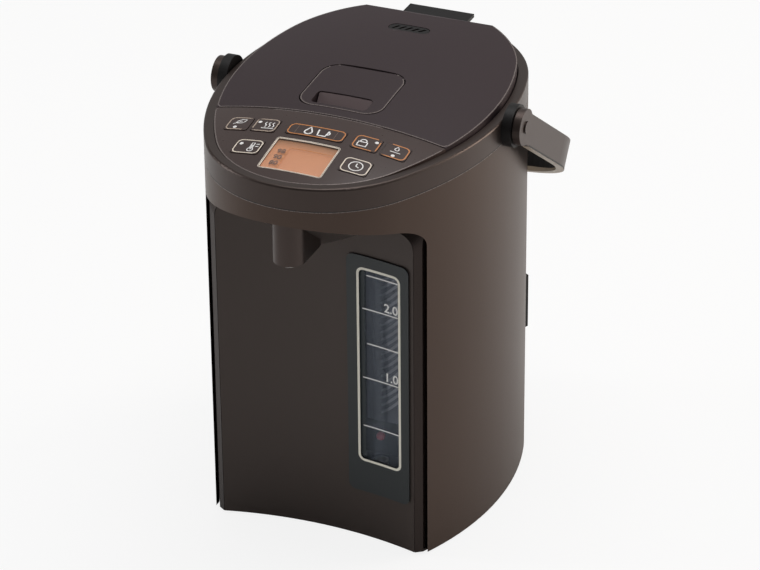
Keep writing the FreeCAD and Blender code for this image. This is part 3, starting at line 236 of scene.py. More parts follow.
# %% Brushed steel
def brushed_steel():
    """Steel with fine rings round an upright axis, from noise stretched along the height."""
    material, tree, shader = new_material("steel", (0.58, 0.57, 0.55), 0.28, Metallic=1.0)
    place = add(tree, "ShaderNodeTexCoord")
    squeeze = add(tree, "ShaderNodeMapping", Scale=(6, 6, 1800))
    grain = add(tree, "ShaderNodeTexNoise", Scale=1.0, Detail=2.0)
    spread = add(tree, "ShaderNodeMapRange", To_Min=0.2, To_Max=0.38)
    dent = add(tree, "ShaderNodeBump", Strength=0.04, Distance=0.0003)
    tree.links.new(place.outputs["Object"], squeeze.inputs["Vector"])
    tree.links.new(squeeze.outputs["Vector"], grain.inputs["Vector"])
    tree.links.new(grain.outputs["Fac"], spread.inputs["Value"])
    tree.links.new(spread.outputs["Result"], shader.inputs["Roughness"])
    tree.links.new(grain.outputs["Fac"], dent.inputs["Height"])
    tree.links.new(dent.outputs["Normal"], shader.inputs["Normal"])
    return material


FINISH["steel"] = brushed_steel()


# %% Clear gauge and display windows
def clear_material(name, tint, rough, alpha):
    """A thin clear cover: mostly see-through, with a gloss on top."""
    material, tree, shader = new_material(name, tint, rough, Alpha=alpha)
    place = add(tree, "ShaderNodeTexCoord")
    haze = add(tree, "ShaderNodeTexNoise", Scale=60.0, Detail=2.0)
    spread = add(tree, "ShaderNodeMapRange", To_Min=rough, To_Max=rough + 0.06)
    tree.links.new(place.outputs["Object"], haze.inputs["Vector"])
    tree.links.new(haze.outputs["Fac"], spread.inputs["Value"])
    tree.links.new(spread.outputs["Result"], shader.inputs["Roughness"])
    return material


FINISH["gauge_clear"] = clear_material("gauge_clear", (0.40, 0.46, 0.56), 0.06, 0.09)
FINISH["display_clear"] = clear_material("display_clear", (0.4, 0.3, 0.25), 0.05, 0.12)


# %% Gauge backing
# The backing is dark to the left of the first place, a painted shade along the window's left edge, and dark
# below the second, in millimetres.
PAINTED_SHADE_SIDE, DARK_FOOT = 26.5, 82.0
BACK_DARK, BACK_PALE = (0.022, 0.032, 0.038, 1), (0.13, 0.145, 0.19, 1)


def backing():
    """A grey-blue panel with a painted shade along its left edge and a dark foot, as behind the sight tube.
    """
    material, tree, shader = new_material("gauge_back", (0.12, 0.14, 0.17), 0.5)
    place = add(tree, "ShaderNodeTexCoord")
    parts = add(tree, "ShaderNodeSeparateXYZ")
    haze = add(tree, "ShaderNodeTexNoise", Scale=90.0, Detail=2.0)
    level = add(tree, "ShaderNodeMapRange", To_Min=0.85, To_Max=1.15)
    tree.links.new(place.outputs["Object"], parts.inputs["Vector"])
    tree.links.new(place.outputs["Object"], haze.inputs["Vector"])
    tree.links.new(haze.outputs["Fac"], level.inputs["Value"])
    masks = []
    # Left of the first place the dark colour is painted shade; below the second the backing is dark all
    # across.
    for axis, edge in (("X", PAINTED_SHADE_SIDE), ("Z", DARK_FOOT)):
        mask = add(tree, "ShaderNodeMath", operation="GREATER_THAN")
        mask.inputs[1].default_value = edge * MM
        tree.links.new(parts.outputs[axis], mask.inputs[0])
        masks.append(mask)
    both = add(tree, "ShaderNodeMath", operation="MULTIPLY")
    tree.links.new(masks[0].outputs[0], both.inputs[0])
    tree.links.new(masks[1].outputs[0], both.inputs[1])
    # Inputs 6 and 7 and output 2 of this node are its colours.
    mix = add(tree, "ShaderNodeMix", data_type="RGBA")
    mix.inputs[6].default_value = BACK_DARK
    mix.inputs[7].default_value = BACK_PALE
    tone = add(tree, "ShaderNodeVectorMath", operation="SCALE")
    tree.links.new(both.outputs[0], mix.inputs["Factor"])
    tree.links.new(mix.outputs[2], tone.inputs[0])
    tree.links.new(level.outputs["Result"], tone.inputs["Scale"])
    tree.links.new(tone.outputs[0], shader.inputs["Base Color"])
    return material


FINISH["gauge_back"] = backing()


# %% The lit display
def lit_display():
    """Amber glass lit from below: it glows a little, with a painted shade that darkens it towards its far
    edge.
    """
    material, tree, shader = new_material("lcd_amber", (0.5, 0.24, 0.14), 0.3, Emission_Strength=0.25)
    place = add(tree, "ShaderNodeTexCoord")
    parts = add(tree, "ShaderNodeSeparateXYZ")
    low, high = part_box("lcd_glass")
    spread = add(tree, "ShaderNodeMapRange", From_Min=low.y, From_Max=high.y)
    # The darkest stop, at the far edge, is painted shade.
    tone = ramp(tree, [(0.0, (0.72, 0.33, 0.18)), (0.7, (0.66, 0.29, 0.14)), (1.0, (0.30, 0.14, 0.06))])
    tree.links.new(place.outputs["Object"], parts.inputs["Vector"])
    tree.links.new(parts.outputs["Y"], spread.inputs["Value"])
    tree.links.new(spread.outputs["Result"], tone.inputs["Fac"])
    tree.links.new(tone.outputs["Color"], shader.inputs["Base Color"])
    tree.links.new(tone.outputs["Color"], shader.inputs["Emission Color"])
    return material


FINISH["lcd_amber"] = lit_display()

# %% [markdown]
# ## Finish of each frame piece
#
# The record already says which slot each piece belongs to. The materials have the slots' names, so a
# loop gives each piece its finish. A few pieces differ from the rest of their slot.

# %% Give every frame piece its material
OWN_FINISH = {"gauge_bezel": "bezel_dark", "lcd_window": "display_clear", "handle_screws": "head_brown"}
parts = frame["record"]["subparts"]
for part in parts:
    node = nodes[part["node"]]
    node.data.materials.clear()
    node.data.materials.append(FINISH[OWN_FINISH.get(part["node"], part["material_slot"])])
print("finished frame pieces:", len(parts))

# %% [markdown]
# ## Printing
#
# Key frames, symbols, light dots and gauge marks are printed on curved surfaces. A flat print would
# sink into the dome or float over it, so every point of a print is sent along a ray onto the frame
# piece that carries it. Each line is cut into short stretches first, so that it bends with the
# surface. A printed line is a thin closed strip that stands less than a tenth of a millimetre high.


# %% Rays onto a frame piece
def search_tree(*names):
    """A search tree over some frame pieces."""
    shell = bmesh.new()
    for name in names:
        shell.from_mesh(nodes[name].data)
    tree = BVHTree.FromBMesh(shell)
    shell.free()
    return tree


def caster(start, axis, reach, *names):
    """A function that gives the surface point for two flat coordinates in millimetres.

    The rays start at this level or depth. Where a ray meets nothing, the point is the one that is
    nearest to the ray's place after this reach.
    """
    tree = search_tree(*names)
    ray = Vector(axis)

    def cast(u, v, lift=0.0):
        """The surface point that (u, v) falls on, raised by the lift."""
        origin = Vector((u * MM, v * MM, start)) if ray.z else Vector((u * MM, start, v * MM))
        found = tree.ray_cast(origin, ray)[0]
        if found is None:
            found = tree.find_nearest(origin + ray * reach)[0]
        return found - ray * lift * MM

    return cast


def onto_top(*names):
    """Rays that look straight down, for (x, y)."""
    return caster(0.5, (0, 0, -1), 0.22, *names)


def onto_front(*names):
    """Rays that look backwards from the front, for (x, z)."""
    return caster(-0.5, (0, 1, 0), 0.42, *names)


# %% Strips and discs on a surface
# How deep a print goes below its surface, in millimetres.
SINK = 0.1


def mesh_piece(name, verts, faces, material, body, slot):
    """Make a closed mesh piece with outward faces and let it ride on a body."""
    mesh = bpy.data.meshes.new(name)
    mesh.from_pydata(verts, [], faces)
    shell = bmesh.new()
    shell.from_mesh(mesh)
    bmesh.ops.recalc_face_normals(shell, faces=shell.faces)
    shell.to_mesh(mesh)
    shell.free()
    mesh.materials.append(material)
    piece = bpy.data.objects.new(name, mesh)
    bpy.context.scene.collection.objects.link(piece)
    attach(piece, body)
    return piece


def split(points, closed, step=3.0):
    """The same line with no stretch longer than a step."""
    finer = []
    ends = points[1:] + points[:1] if closed else points[1:]
    for here, after in zip(points, ends):
        count = max(1, math.ceil(math.dist(here, after) / step))
        finer += [tuple(Vector(here).lerp(Vector(after), k / count)) for k in range(count)]
    return finer if closed else finer + [points[-1]]


def strip_rows(points, width, closed):
    """The left and right edge of a line of this width."""
    rows, count = [], len(points)
    for index, point in enumerate(points):
        back = points[index - 1] if closed or index else point
        front = points[(index + 1) % count] if closed or index < count - 1 else point
        along = (Vector(front) - Vector(back)).normalized()
        across = Vector((-along.y, along.x)) * width / 2
        rows.append((Vector(point) + across, Vector(point) - across))
    return rows


def sweep_faces(rows, sides=4, closed=False, first=0):
    """The faces between rows of points with this many sides, and both ends if the run is open."""
    faces = []
    for row in range(rows if closed else rows - 1):
        here, after = first + sides * row, first + sides * ((row + 1) % rows)
        faces += [(here + k, here + (k + 1) % sides, after + (k + 1) % sides, after + k)
                  for k in range(sides)]
    if not closed:
        last = first + sides * (rows - 1)
        faces += [tuple(range(first + sides - 1, first - 1, -1)), tuple(range(last, last + sides))]
    return faces


def lay_lines(name, lines, width, cast, finish, body, slot, lift=0.06):
    """Lay lines, each given as (points, closed), on a surface as one thin piece."""
    verts, faces = [], []
    for points, closed in lines:
        rows = strip_rows(split(list(points), closed), width, closed)
        faces += sweep_faces(len(rows), closed=closed, first=len(verts))
        for left, other in rows:
            verts += [cast(*left, lift), cast(*other, lift), cast(*other, -SINK), cast(*left, -SINK)]
    return mesh_piece(name, verts, faces, FINISH[finish], body, slot)


def lay_disc(name, x, y, radius, cast, finish, body, slot, lift=0.08, crown=1.8, sides=20):
    """Lay a small round print whose middle stands higher than its edge by the crown's factor."""
    turns = [2 * math.pi * k / sides for k in range(sides)]
    ring = [(x + radius * math.cos(turn), y + radius * math.sin(turn)) for turn in turns]
    verts = [cast(*point, lift) for point in ring] + [cast(*point, -SINK) for point in ring]
    verts += [cast(x, y, lift * crown), cast(x, y, -SINK)]
    faces = []
    for k in range(sides):
        after = (k + 1) % sides
        faces += [(k, after, 2 * sides), (k, k + sides, after + sides, after),
                  (after + sides, k + sides, 2 * sides + 1)]
    return mesh_piece(name, verts, faces, FINISH[finish], body, slot)


# %% Outlines
def arc(x, y, radius, start, sweep=90, steps=6):
    """Points of an arc that starts at an angle in degrees."""
    return [(x + radius * math.cos(math.radians(start + sweep * k / steps)),
             y + radius * math.sin(math.radians(start + sweep * k / steps))) for k in range(steps + 1)]


def round_box(left, right_side, low, high, radius):
    """A rectangle with round corners, counter-clockwise."""
    return (arc(right_side - radius, high - radius, radius, 0)
            + arc(left + radius, high - radius, radius, 90)
            + arc(left + radius, low + radius, radius, 180)
            + arc(right_side - radius, low + radius, radius, 270))


def millimetres(node):
    """The box of a frame piece in millimetres."""
    low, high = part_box(node)
    return low / MM, high / MM


def lay_text(name, words, x, y, size, cast, finish, body, slot, lift=0.06, bolder=0.018):
    """Numbers as a thin mesh that follows the surface under them.

    The text is extruded only so that its top and its foot can be told apart.
    """
    curve = bpy.data.curves.new(name, "FONT")
    curve.body, curve.size = words, size
    curve.extrude, curve.offset = 0.5, size * bolder
    curve.align_x, curve.align_y = "CENTER", "CENTER"
    draft = bpy.data.objects.new(name, curve)
    bpy.context.scene.collection.objects.link(draft)
    bpy.context.view_layer.update()
    shape = bpy.data.meshes.new_from_object(draft.evaluated_get(bpy.context.evaluated_depsgraph_get()))
    verts = [cast(x + v.co.x, y + v.co.y, lift if v.co.z > 0 else -SINK) for v in shape.vertices]
    faces = [tuple(face.vertices) for face in shape.polygons]
    bpy.data.objects.remove(draft)
    return mesh_piece(name, verts, faces, FINISH[finish], body, slot)


# %% Ink
for ink, colour in (("ink_cream", (0.50, 0.40, 0.32)), ("ink_orange", (0.62, 0.24, 0.07)),
                    ("ink_white", (0.88, 0.87, 0.86)), ("ink_pale", (0.86, 0.76, 0.64)),
                    ("ink_outline", (0.90, 0.87, 0.76)), ("ink_grey", (0.16, 0.11, 0.09)),
                    ("ink_shade", (0.020, 0.030, 0.036))):
    FINISH[ink] = moulded(ink, colour, 0.42, 0.05, 900, 0.05, 0.0)

# %% [markdown]
# ## Key frames
#
# Two of the frames hold two keys each. The outer halves are open on the side of the divider, and the
# inner keys have square corners there. The frame of the dispense key is orange and has a short line
# near each end.

# %% Key frames on the keys
KEY_LINE, KEY_INSET, KEY_ROUND = 0.75, 0.7, 3.2


def key_outline(key, square_left=False, square_right=False):
    """The closed frame of a key, with square corners on one side if it meets a divider."""
    low, high = millimetres(key)
    left, right_side = low.x + KEY_INSET, high.x - KEY_INSET
    near, far = low.y + KEY_INSET, high.y - KEY_INSET
    points = []
    for x, y, turn, square in ((right_side, far, 0, square_right), (left, far, 90, square_left),
                               (left, near, 180, square_left), (right_side, near, 270, square_right)):
        inner_x = x - KEY_ROUND if x == right_side else x + KEY_ROUND
        inner_y = y - KEY_ROUND if y == far else y + KEY_ROUND
        points += [(x, y)] if square else arc(inner_x, inner_y, KEY_ROUND, turn)
    return points


def open_outline(key, open_left):
    """A key's frame that is open on the divider's side."""
    points = key_outline(key, square_left=open_left, square_right=not open_left)
    half = len(points) // 2 if open_left else 0
    return points[half:] + points[:half]


# Each frame: its ink, its points and whether it is closed.
FRAMES = {
    "save_key": ("ink_cream", open_outline("save_key", False), False),
    "reboil_key": ("ink_cream", key_outline("reboil_key", square_left=True), True),
    "dispense_key": ("ink_orange", key_outline("dispense_key"), True),
    "lock_key": ("ink_orange", key_outline("lock_key", square_right=True), True),
    "slow_key": ("ink_orange", open_outline("slow_key", True), False),
    "keep_warm_key": ("ink_pale", key_outline("keep_warm_key"), True),
    "timer_key": ("ink_pale", key_outline("timer_key"), True),
}
on_key = {key: onto_top(key, "operation_panel") for key in FRAMES}
for key, (ink, points, closed) in FRAMES.items():
    lay_lines(key + "_frame", [(points, closed)], KEY_LINE, on_key[key], ink, key, "field_film")

# %% [markdown]
# ## Symbols and light dots
#
# Each key has a plain symbol in white in place of words: a leaf for saving, steam for boiling again,
# a drop and a cup for dispensing, a padlock, a small drop for slow pouring, a thermometer and a clock.


# %% Symbols from lines and arcs
def drop_shape(x, y, radius):
    """The outline of a water drop with its point up."""
    return arc(x, y, radius, 150, 240, 12) + [(x, y + radius * 2.2)]


def cup_shape(x, y, wide, tall):
    """A cup that narrows downwards."""
    foot = wide * 0.78
    return [(x - wide, y + tall), (x - foot, y - tall), (x + foot, y - tall), (x + wide, y + tall)]


def wave(x, y, tall, reach=0.7):
    """One upright wave of rising steam."""
    return [(x + reach * math.sin(k * math.pi / 4), y + tall * (k / 4 - 1)) for k in range(9)]


def shift(points, key, x, y):
    """Points measured from the middle of a key."""
    low, high = millimetres(key)
    middle = (low + high) / 2
    return [(middle.x + x + u, middle.y + y + v) for u, v in points]


LEAF = [(-3.0, -1.8), (-2.2, 0.6), (0.2, 2.2), (3.4, 2.2), (2.6, -0.4), (0.2, -1.9)]
LOCK_BODY = [(-3.0, -3.4), (3.0, -3.4), (3.0, 0.8), (-3.0, 0.8)]
THERMOMETER = arc(0, -3.0, 1.8, 120, 300, 14) + [(0.9, 4.0), (-0.9, 4.0)]
WAVES = [wave(x, 0.4, 2.6) for x in (-2.6, 0, 2.6)]
# Each symbol: the width of its lines, its place from the key's middle, its closed lines and its open ones.
SYMBOLS = {
    "save_key": (0.6, (0.4, 2.2), [LEAF], [[(-4.4, -2.8), (0.6, 0.6)]]),
    "reboil_key": (0.7, (2.2, 0.3), [], [*WAVES, [(-4.2, -3.6), (4.2, -3.6)]]),
    "dispense_key": (1.0, (0, 0), [drop_shape(-5.0, -1.2, 2.4)],
                     [cup_shape(4.4, -0.2, 3.4, 3.0), arc(7.4, 0.2, 1.6, 80, -160)]),
    "lock_key": (0.8, (-2.4, -0.6), [LOCK_BODY], [arc(0, 1.6, 2.0, 200, -220, 10)]),
    "slow_key": (0.6, (-0.2, 1.8), [drop_shape(0, 0.6, 1.3)], [[(-3.4, -2.6), (3.4, -2.6)]]),
    "keep_warm_key": (0.7, (2.6, 0), [THERMOMETER],
                      [[(0, -3.0), (0, 2.0)], [(2.2, 3.0), (4.4, 3.0)], [(2.2, 0.6), (4.4, 0.6)]]),
    "timer_key": (0.75, (0, 0), [arc(0, 0, 4.4, 0, 345, 22)], [[(0, 2.8), (0, 0), (2.2, -1.0)]]),
}
for key, (width, (x, y), loops, strokes) in SYMBOLS.items():
    placed = [(shift(points, key, x, y), True) for points in loops]
    placed += [(shift(points, key, x, y), False) for points in strokes]
    lay_lines(key + "_symbol", placed, width, on_key[key], "ink_white", key, "field_film")
END_IN, END_SHORT, FINE_LINE = 6.0, 1.4, 0.35
low, high = millimetres("dispense_key")
ends = [([(x, low.y + END_SHORT), (x, high.y - END_SHORT)], False)
        for x in (low.x + END_IN, high.x - END_IN)]
lay_lines("dispense_key_ends", ends, FINE_LINE, on_key["dispense_key"], "ink_grey", "dispense_key",
          "field_film")

DOTS = {"save_key": (-1.2, -4.2), "reboil_key": (-5.2, 3.0), "lock_key": (5.6, 3.0),
        "slow_key": (-0.2, -4.6), "keep_warm_key": (-5.4, 2.6)}
DOT_RADIUS = 1.25
for key, (x, y) in DOTS.items():
    place = shift([(0, 0)], key, x, y)[0]
    lay_disc(key + "_light", *place, DOT_RADIUS, on_key[key], "ink_white", key, "field_film")
print("printed keys:", len(SYMBOLS), "light dots:", len(DOTS))

# %% [markdown]
# ## Display face
#
# A pale frame goes round the window. Behind it the left column shows three water temperatures, and a
# finer line borders the message field. The numbers are made as text, then bent onto the glass.

# %% Display frame and numbers
# How far the frame stands out from the window, then its width and the radius of its corners. After
# them come the edges of the message field and the places of the numbers, from the window's edges.
FRAME_OUT, DISPLAY_LINE, DISPLAY_ROUND = 0.3, 1.15, 1.6
COLUMN, TOP_BAND, FIELD_RIGHT, FIELD_FOOT = 11.6, 8.6, 0.8, 1.2
NUMBER_RIGHT, NUMBER_DOWN, NUMBER_PITCH, NUMBER_SIZE = 7.6, 13.2, 6.2, 5.6
low, high = millimetres("lcd_window")
over_display = onto_top("lcd_window", "operation_panel")
frame_box = round_box(low.x - FRAME_OUT, high.x + FRAME_OUT, low.y - FRAME_OUT, high.y + FRAME_OUT,
                      DISPLAY_ROUND)
lay_lines("display_frame", [(frame_box, True)], DISPLAY_LINE, over_display, "ink_pale", "root", "lcd_amber")
on_glass = onto_top("lcd_window")
corner = (low.x + COLUMN, high.y - TOP_BAND)
field = [(high.x - FIELD_RIGHT, corner[1]), corner, (corner[0], low.y + FIELD_FOOT)]
lay_lines("display_field_line", [(field, False)], FINE_LINE, on_glass, "ink_orange", "root", "lcd_amber")
for row, words in enumerate(("98", "90", "80")):
    level = high.y - NUMBER_DOWN - NUMBER_PITCH * row
    lay_text("display_number_" + words, words, low.x + NUMBER_RIGHT, level, NUMBER_SIZE, on_glass,
             "ink_grey", "root", "lcd_amber")

# %% [markdown]
# ## Gauge marks
#
# The gauge window has a bright outline, a painted shade along its left edge and level lines. The long lines
# are for whole litres and for the refill mark, the short ones for the full mark and the half litre. Two of
# the lines carry a number of litres.

# %% Gauge outline, level lines and numbers
GAUGE_LINE, GAUGE_ROUND, LEVEL_LINE, LEVEL_END = 1.7, 4.0, 0.85, 0.8
SHADE_IN, SHADE_WIDTH, SHADE_SHORT, SHADE_LIFT = 2.3, 3.6, 1.0, 0.03
LITRES_LEFT, LITRES_UP, LITRES_SIZE = 6.4, 4.4, 8.6
# Each level: its height, and how far from the window's left edge its line starts.
LEVELS = {"full": (197.0, 5.6), "two": (172.5, 2.4), "one_half": (147.5, 5.6), "one": (122.0, 2.4),
          "refill": (86.0, 2.4)}
low, high = millimetres("gauge_window")
over_gauge = onto_front("gauge_bezel", "gauge_window")
outline = round_box(low.x - FRAME_OUT, high.x + FRAME_OUT, low.z - FRAME_OUT, high.z + FRAME_OUT,
                    GAUGE_ROUND)
lay_lines("gauge_outline", [(outline, True)], GAUGE_LINE, over_gauge, "ink_outline", "root", "frame_black")
on_window = onto_front("gauge_window")
# The dark strip along the window's left edge is painted shade.
shade = [(low.x + SHADE_IN, low.z + SHADE_SHORT), (low.x + SHADE_IN, high.z - SHADE_SHORT)]
lay_lines("gauge_shade", [(shade, False)], SHADE_WIDTH, on_window, "ink_shade", "root", "gauge_clear",
          SHADE_LIFT)
marks = [([(low.x + start, z), (high.x - LEVEL_END, z)], False) for z, start in LEVELS.values()]
lay_lines("gauge_levels", marks, LEVEL_LINE, on_window, "ink_white", "root", "gauge_clear")
for words, level in (("2.0", "two"), ("1.0", "one")):
    lay_text("gauge_number_" + words[0], words, high.x - LITRES_LEFT, LEVELS[level][0] + LITRES_UP,
             LITRES_SIZE, on_window, "ink_white", "root", "gauge_clear")

# %% [markdown]
# ## Stripes behind the sight tube
#
# Slanted stripes fill the right half of the gauge's backing. They are all alike and stand one above
# the other, so one stripe is built as a small mesh and Geometry Nodes repeat it. The tree has its count
# and its pitch as inputs, and ends by making the copies real and giving them their material.


# %% Repeat a shape with Geometry Nodes
def repeat_tree():
    """A tree that repeats the shape it is given along a straight line."""
    tree = bpy.data.node_groups.new("repeat_in_a_line", "GeometryNodeTree")
    make = tree.interface.new_socket
    make("Shape", in_out="INPUT", socket_type="NodeSocketGeometry")
    make("Count", in_out="INPUT", socket_type="NodeSocketInt")
    make("Pitch", in_out="INPUT", socket_type="NodeSocketFloat")
    make("Finish", in_out="INPUT", socket_type="NodeSocketMaterial")
    make("Row", in_out="OUTPUT", socket_type="NodeSocketGeometry")
    start, end = tree.nodes.new("NodeGroupInput"), tree.nodes.new("NodeGroupOutput")
    line = add(tree, "GeometryNodeMeshLine", mode="OFFSET")
    step = add(tree, "ShaderNodeCombineXYZ")
    copies = add(tree, "GeometryNodeInstanceOnPoints")
    solid = add(tree, "GeometryNodeRealizeInstances")
    paint = add(tree, "GeometryNodeSetMaterial")
    tree.links.new(start.outputs["Count"], line.inputs["Count"])
    tree.links.new(start.outputs["Pitch"], step.inputs["Z"])
    tree.links.new(step.outputs["Vector"], line.inputs["Offset"])
    tree.links.new(line.outputs["Mesh"], copies.inputs["Points"])
    tree.links.new(start.outputs["Shape"], copies.inputs["Instance"])
    tree.links.new(copies.outputs["Instances"], solid.inputs["Geometry"])
    tree.links.new(solid.outputs["Geometry"], paint.inputs["Geometry"])
    tree.links.new(start.outputs["Finish"], paint.inputs["Material"])
    tree.links.new(paint.outputs["Geometry"], end.inputs["Row"])
    return tree


def repeat_up(name, verts, faces, count, pitch, finish, body, slot):
    """Repeat a closed shape upwards and keep the result as a plain mesh."""
    draft = mesh_piece(name, verts, faces, FINISH[finish], body, slot)
    tree = repeat_tree()
    modifier = draft.modifiers.new("repeat", "NODES")
    modifier.node_group = tree
    sockets = {item.name: item.identifier for item in tree.interface.items_tree if item.in_out == "INPUT"}
    modifier[sockets["Count"]] = count
    modifier[sockets["Pitch"]] = pitch * MM
    modifier[sockets["Finish"]] = FINISH[finish]
    bpy.context.view_layer.update()
    plain = bpy.data.meshes.new_from_object(draft.evaluated_get(bpy.context.evaluated_depsgraph_get()))
    draft.modifiers.remove(modifier)
    draft.data = plain
    print(name, "has", len(plain.polygons), "faces")
    return draft


# %% The stripes
# A stripe bends upwards and grows taller towards its right end.
STRIPE_LEFT, STRIPE_RIGHT, STRIPE_RISE, STRIPE_BEND = 36.5, 51.0, 12.0, 1.3
STRIPE_TALL, THIN_END, STRIPE_OUT, STRIPE_IN = 3.1, 0.55, 0.25, 0.05
STRIPE_LOW, STRIPE_COUNT, STRIPE_PITCH, STRIPE_PARTS = 88.0, 19, 5.4, 8
back_y = millimetres("gauge_backing")[0].y
near, far = back_y - STRIPE_OUT, back_y + STRIPE_IN
verts = []
for k in range(STRIPE_PARTS + 1):
    share = k / STRIPE_PARTS
    x = STRIPE_LEFT + (STRIPE_RIGHT - STRIPE_LEFT) * share
    z = STRIPE_LOW + STRIPE_RISE * share ** STRIPE_BEND
    top = z + STRIPE_TALL * (THIN_END + (1 - THIN_END) * share)
    verts += [Vector((x, *place)) * MM for place in ((near, z), (near, top), (far, top), (far, z))]
FINISH["stripe_grey"] = moulded("stripe_grey", (0.40, 0.42, 0.48), 0.5, 0.06, 900, 0.05, 0.0)
repeat_up("gauge_stripes", verts, sweep_faces(STRIPE_PARTS + 1), STRIPE_COUNT, STRIPE_PITCH, "stripe_grey",
          "root", "gauge_back")

# %% [markdown]
# ## Bright edges
#
# On the real pot the rounded edges of the lid and of the key film catch the light as a fine bright
# line beside each dark gap. The outline of a piece is found by stepping inwards until a ray from
# above meets it, and a narrow bead carrying that line as a painted highlight is laid just inside that edge.


# %% Edge beads
def rim_points(centre, inset, *names, count=200, reach=150.0, close=0.04, lowest=0.27):
    """Points just inside the outline of some pieces, as seen from above.

    The steps start outside and are halved where they would meet a piece above the lowest level.
    """
    tree, points = search_tree(*names), []
    for k in range(count):
        turn = 2 * math.pi * k / count
        side = Vector((math.cos(turn), math.sin(turn)))
        away, step = reach, 2.0
        while step > close:
            place = Vector(centre) + side * (away - step)
            hit = tree.ray_cast(Vector((place.x * MM, place.y * MM, 0.5)), Vector((0, 0, -1)))[0]
            if hit and hit.z > lowest:
                step /= 2
            else:
                away -= step
        points.append(tuple(Vector(centre) + side * (away - inset)))
    return points


# The beads' paler, glossier brown is a painted highlight along each rounded edge.
FINISH["edge_painted_highlight"] = moulded("edge_painted_highlight", (0.20, 0.165, 0.155), 0.25, 0.08, 900, 0.05, 0.0, Metallic=0.3)
BEAD, BEAD_INSET, BEAD_LIFT = 0.7, 0.6, 0.05
film = ("operation_panel", "lcd_window", *on_key)
for name, centre, body, slot, carriers in (
        ("lid_edge", (0, 38), "lid", "lid_brown", ("lid_cover", "lid_lever", "steam_vent")),
        ("film_edge", (0, -92), "root", "field_film", film),
        ("lever_edge", (0, -18), "lever", "lid_brown", ("lid_lever",))):
    outline = rim_points(centre, BEAD_INSET, *carriers)
    lay_lines(name, [(outline, True)], BEAD, onto_top(*carriers), "edge_painted_highlight", body, slot, BEAD_LIFT)

# %% [markdown]
# ## Seam round the head
#
# A fine dark seam runs round the pot where the head ring sits on the casing, with a painted highlight along
# its lower edge.
# Its points come from rays that look at the wall from outside, one for each step round the pot.


# %% Seam strips
def wall_strip(name, level, tall, finish, lift, count=240):
    """A thin closed strip round the outside wall at one level."""
    tree, verts = search_tree("outer_casing", "head_ring"), []
    for k in range(count):
        turn = 2 * math.pi * k / count
        out = Vector((math.cos(turn), math.sin(turn), 0))
        rows = []
        for z in (level + tall / 2, level - tall / 2):
            found = tree.ray_cast(Vector((0, 0, z * MM)) + out * 0.3, -out)[0]
            rows.append((found + out * lift * MM, found - out * SINK * MM))
        verts += [rows[0][0], rows[1][0], rows[1][1], rows[0][1]]
    return mesh_piece(name, verts, sweep_faces(count, closed=True), FINISH[finish], "root", "casing_brown")


FINISH["seam_dark"] = moulded("seam_dark", (0.004, 0.003, 0.003), 0.5, 0.08, 900, 0.05, 0.0)
SEAM_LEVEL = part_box("head_ring")[0].z / MM
wall_strip("head_seam", SEAM_LEVEL - 0.1, tall=0.5, finish="seam_dark", lift=0.04)
# The paler strip under the seam is a painted highlight.
wall_strip("head_seam_painted_highlight", SEAM_LEVEL - 0.6, tall=0.4, finish="edge_painted_highlight", lift=0.06)

# %% [markdown]
# ## Finger dish
#
# The rear wall of the dish in the lid's lever slopes towards the user and looks paler than the lid, as it
# faces the light. A thin sloped plate in a paler copy of the lid's brown, painted light, stands against
# that wall, inside the dish, and follows the dome along its top.

# %% The sloped rear wall of the dish
# Half the dish's width, the plate's y at its top and foot, and the level of its foot. The other four
# are the plate's thickness, its cut at the foot, and where its top lies from the lever's skin.
DISH_HALF, DISH_TOP, DISH_FOOT, DISH_LOW = 18.3, -34.6, -39.5, 288.9
PLATE, PLATE_FOOT, EDGE_BEHIND, EDGE_BELOW = 0.5, 0.3, 1.4, 0.7
SLOPE_PARTS = 8
on_lever = onto_top("lid_lever")
verts = []
for k in range(SLOPE_PARTS + 1):
    x = DISH_HALF * (2 * k / SLOPE_PARTS - 1)
    edge = on_lever(x, DISH_TOP + EDGE_BEHIND).z / MM - EDGE_BELOW
    places = ((DISH_TOP, edge), (DISH_FOOT, DISH_LOW), (DISH_FOOT + PLATE, DISH_LOW - PLATE_FOOT),
              (DISH_TOP + PLATE, edge - PLATE))
    verts += [Vector((x, *place)) * MM for place in places]
# The plate's paler brown is painted light: the lid's own brown where light falls on the sloped wall.
FINISH["dish_painted_light"] = moulded("dish_painted_light", (0.15, 0.11, 0.112), 0.4, 0.10, 900, 0.08, 0.03)
mesh_piece("dish_slope", verts, sweep_faces(SLOPE_PARTS + 1), FINISH["dish_painted_light"], "lever", "lid_brown")

# %% [markdown]
# ## Handle highlight and shade
#
# The handle is a brown band. A black strip on its inner side is painted shade in the band's hollow, and a
# pale lip along its lower edge is a painted highlight where the inner face catches the light. The lip is
# narrow on the arms and broad on the grip. The three strips follow the band's own path: two arms, two
# round corners and the grip, in the plane of the folded handle.

# %% Strips along the handle
# The pivot's place and the band's droop, then the band's inner face and half its width.
AXIS_Y, AXIS_Z, DROOP = 3.5, 275.0, math.radians(35)
INNER_HALF, INNER_REACH, INNER_CURVE, ARM_START, HALF_BAND = 102.5, 158.5, 75.0, 14.0, 10.0
ARM_SHARE, LOW = 0.3, -HALF_BAND
# The band's thickness, how deep a strip is let into it, and how far each strip stands off it.
BAND, LET_IN, LIP_OUT, LIP_UNDER, INNER_SHADE_OUT, SEAM_OUT = 5.0, 0.1, 0.4, 0.25, 0.3, 0.12


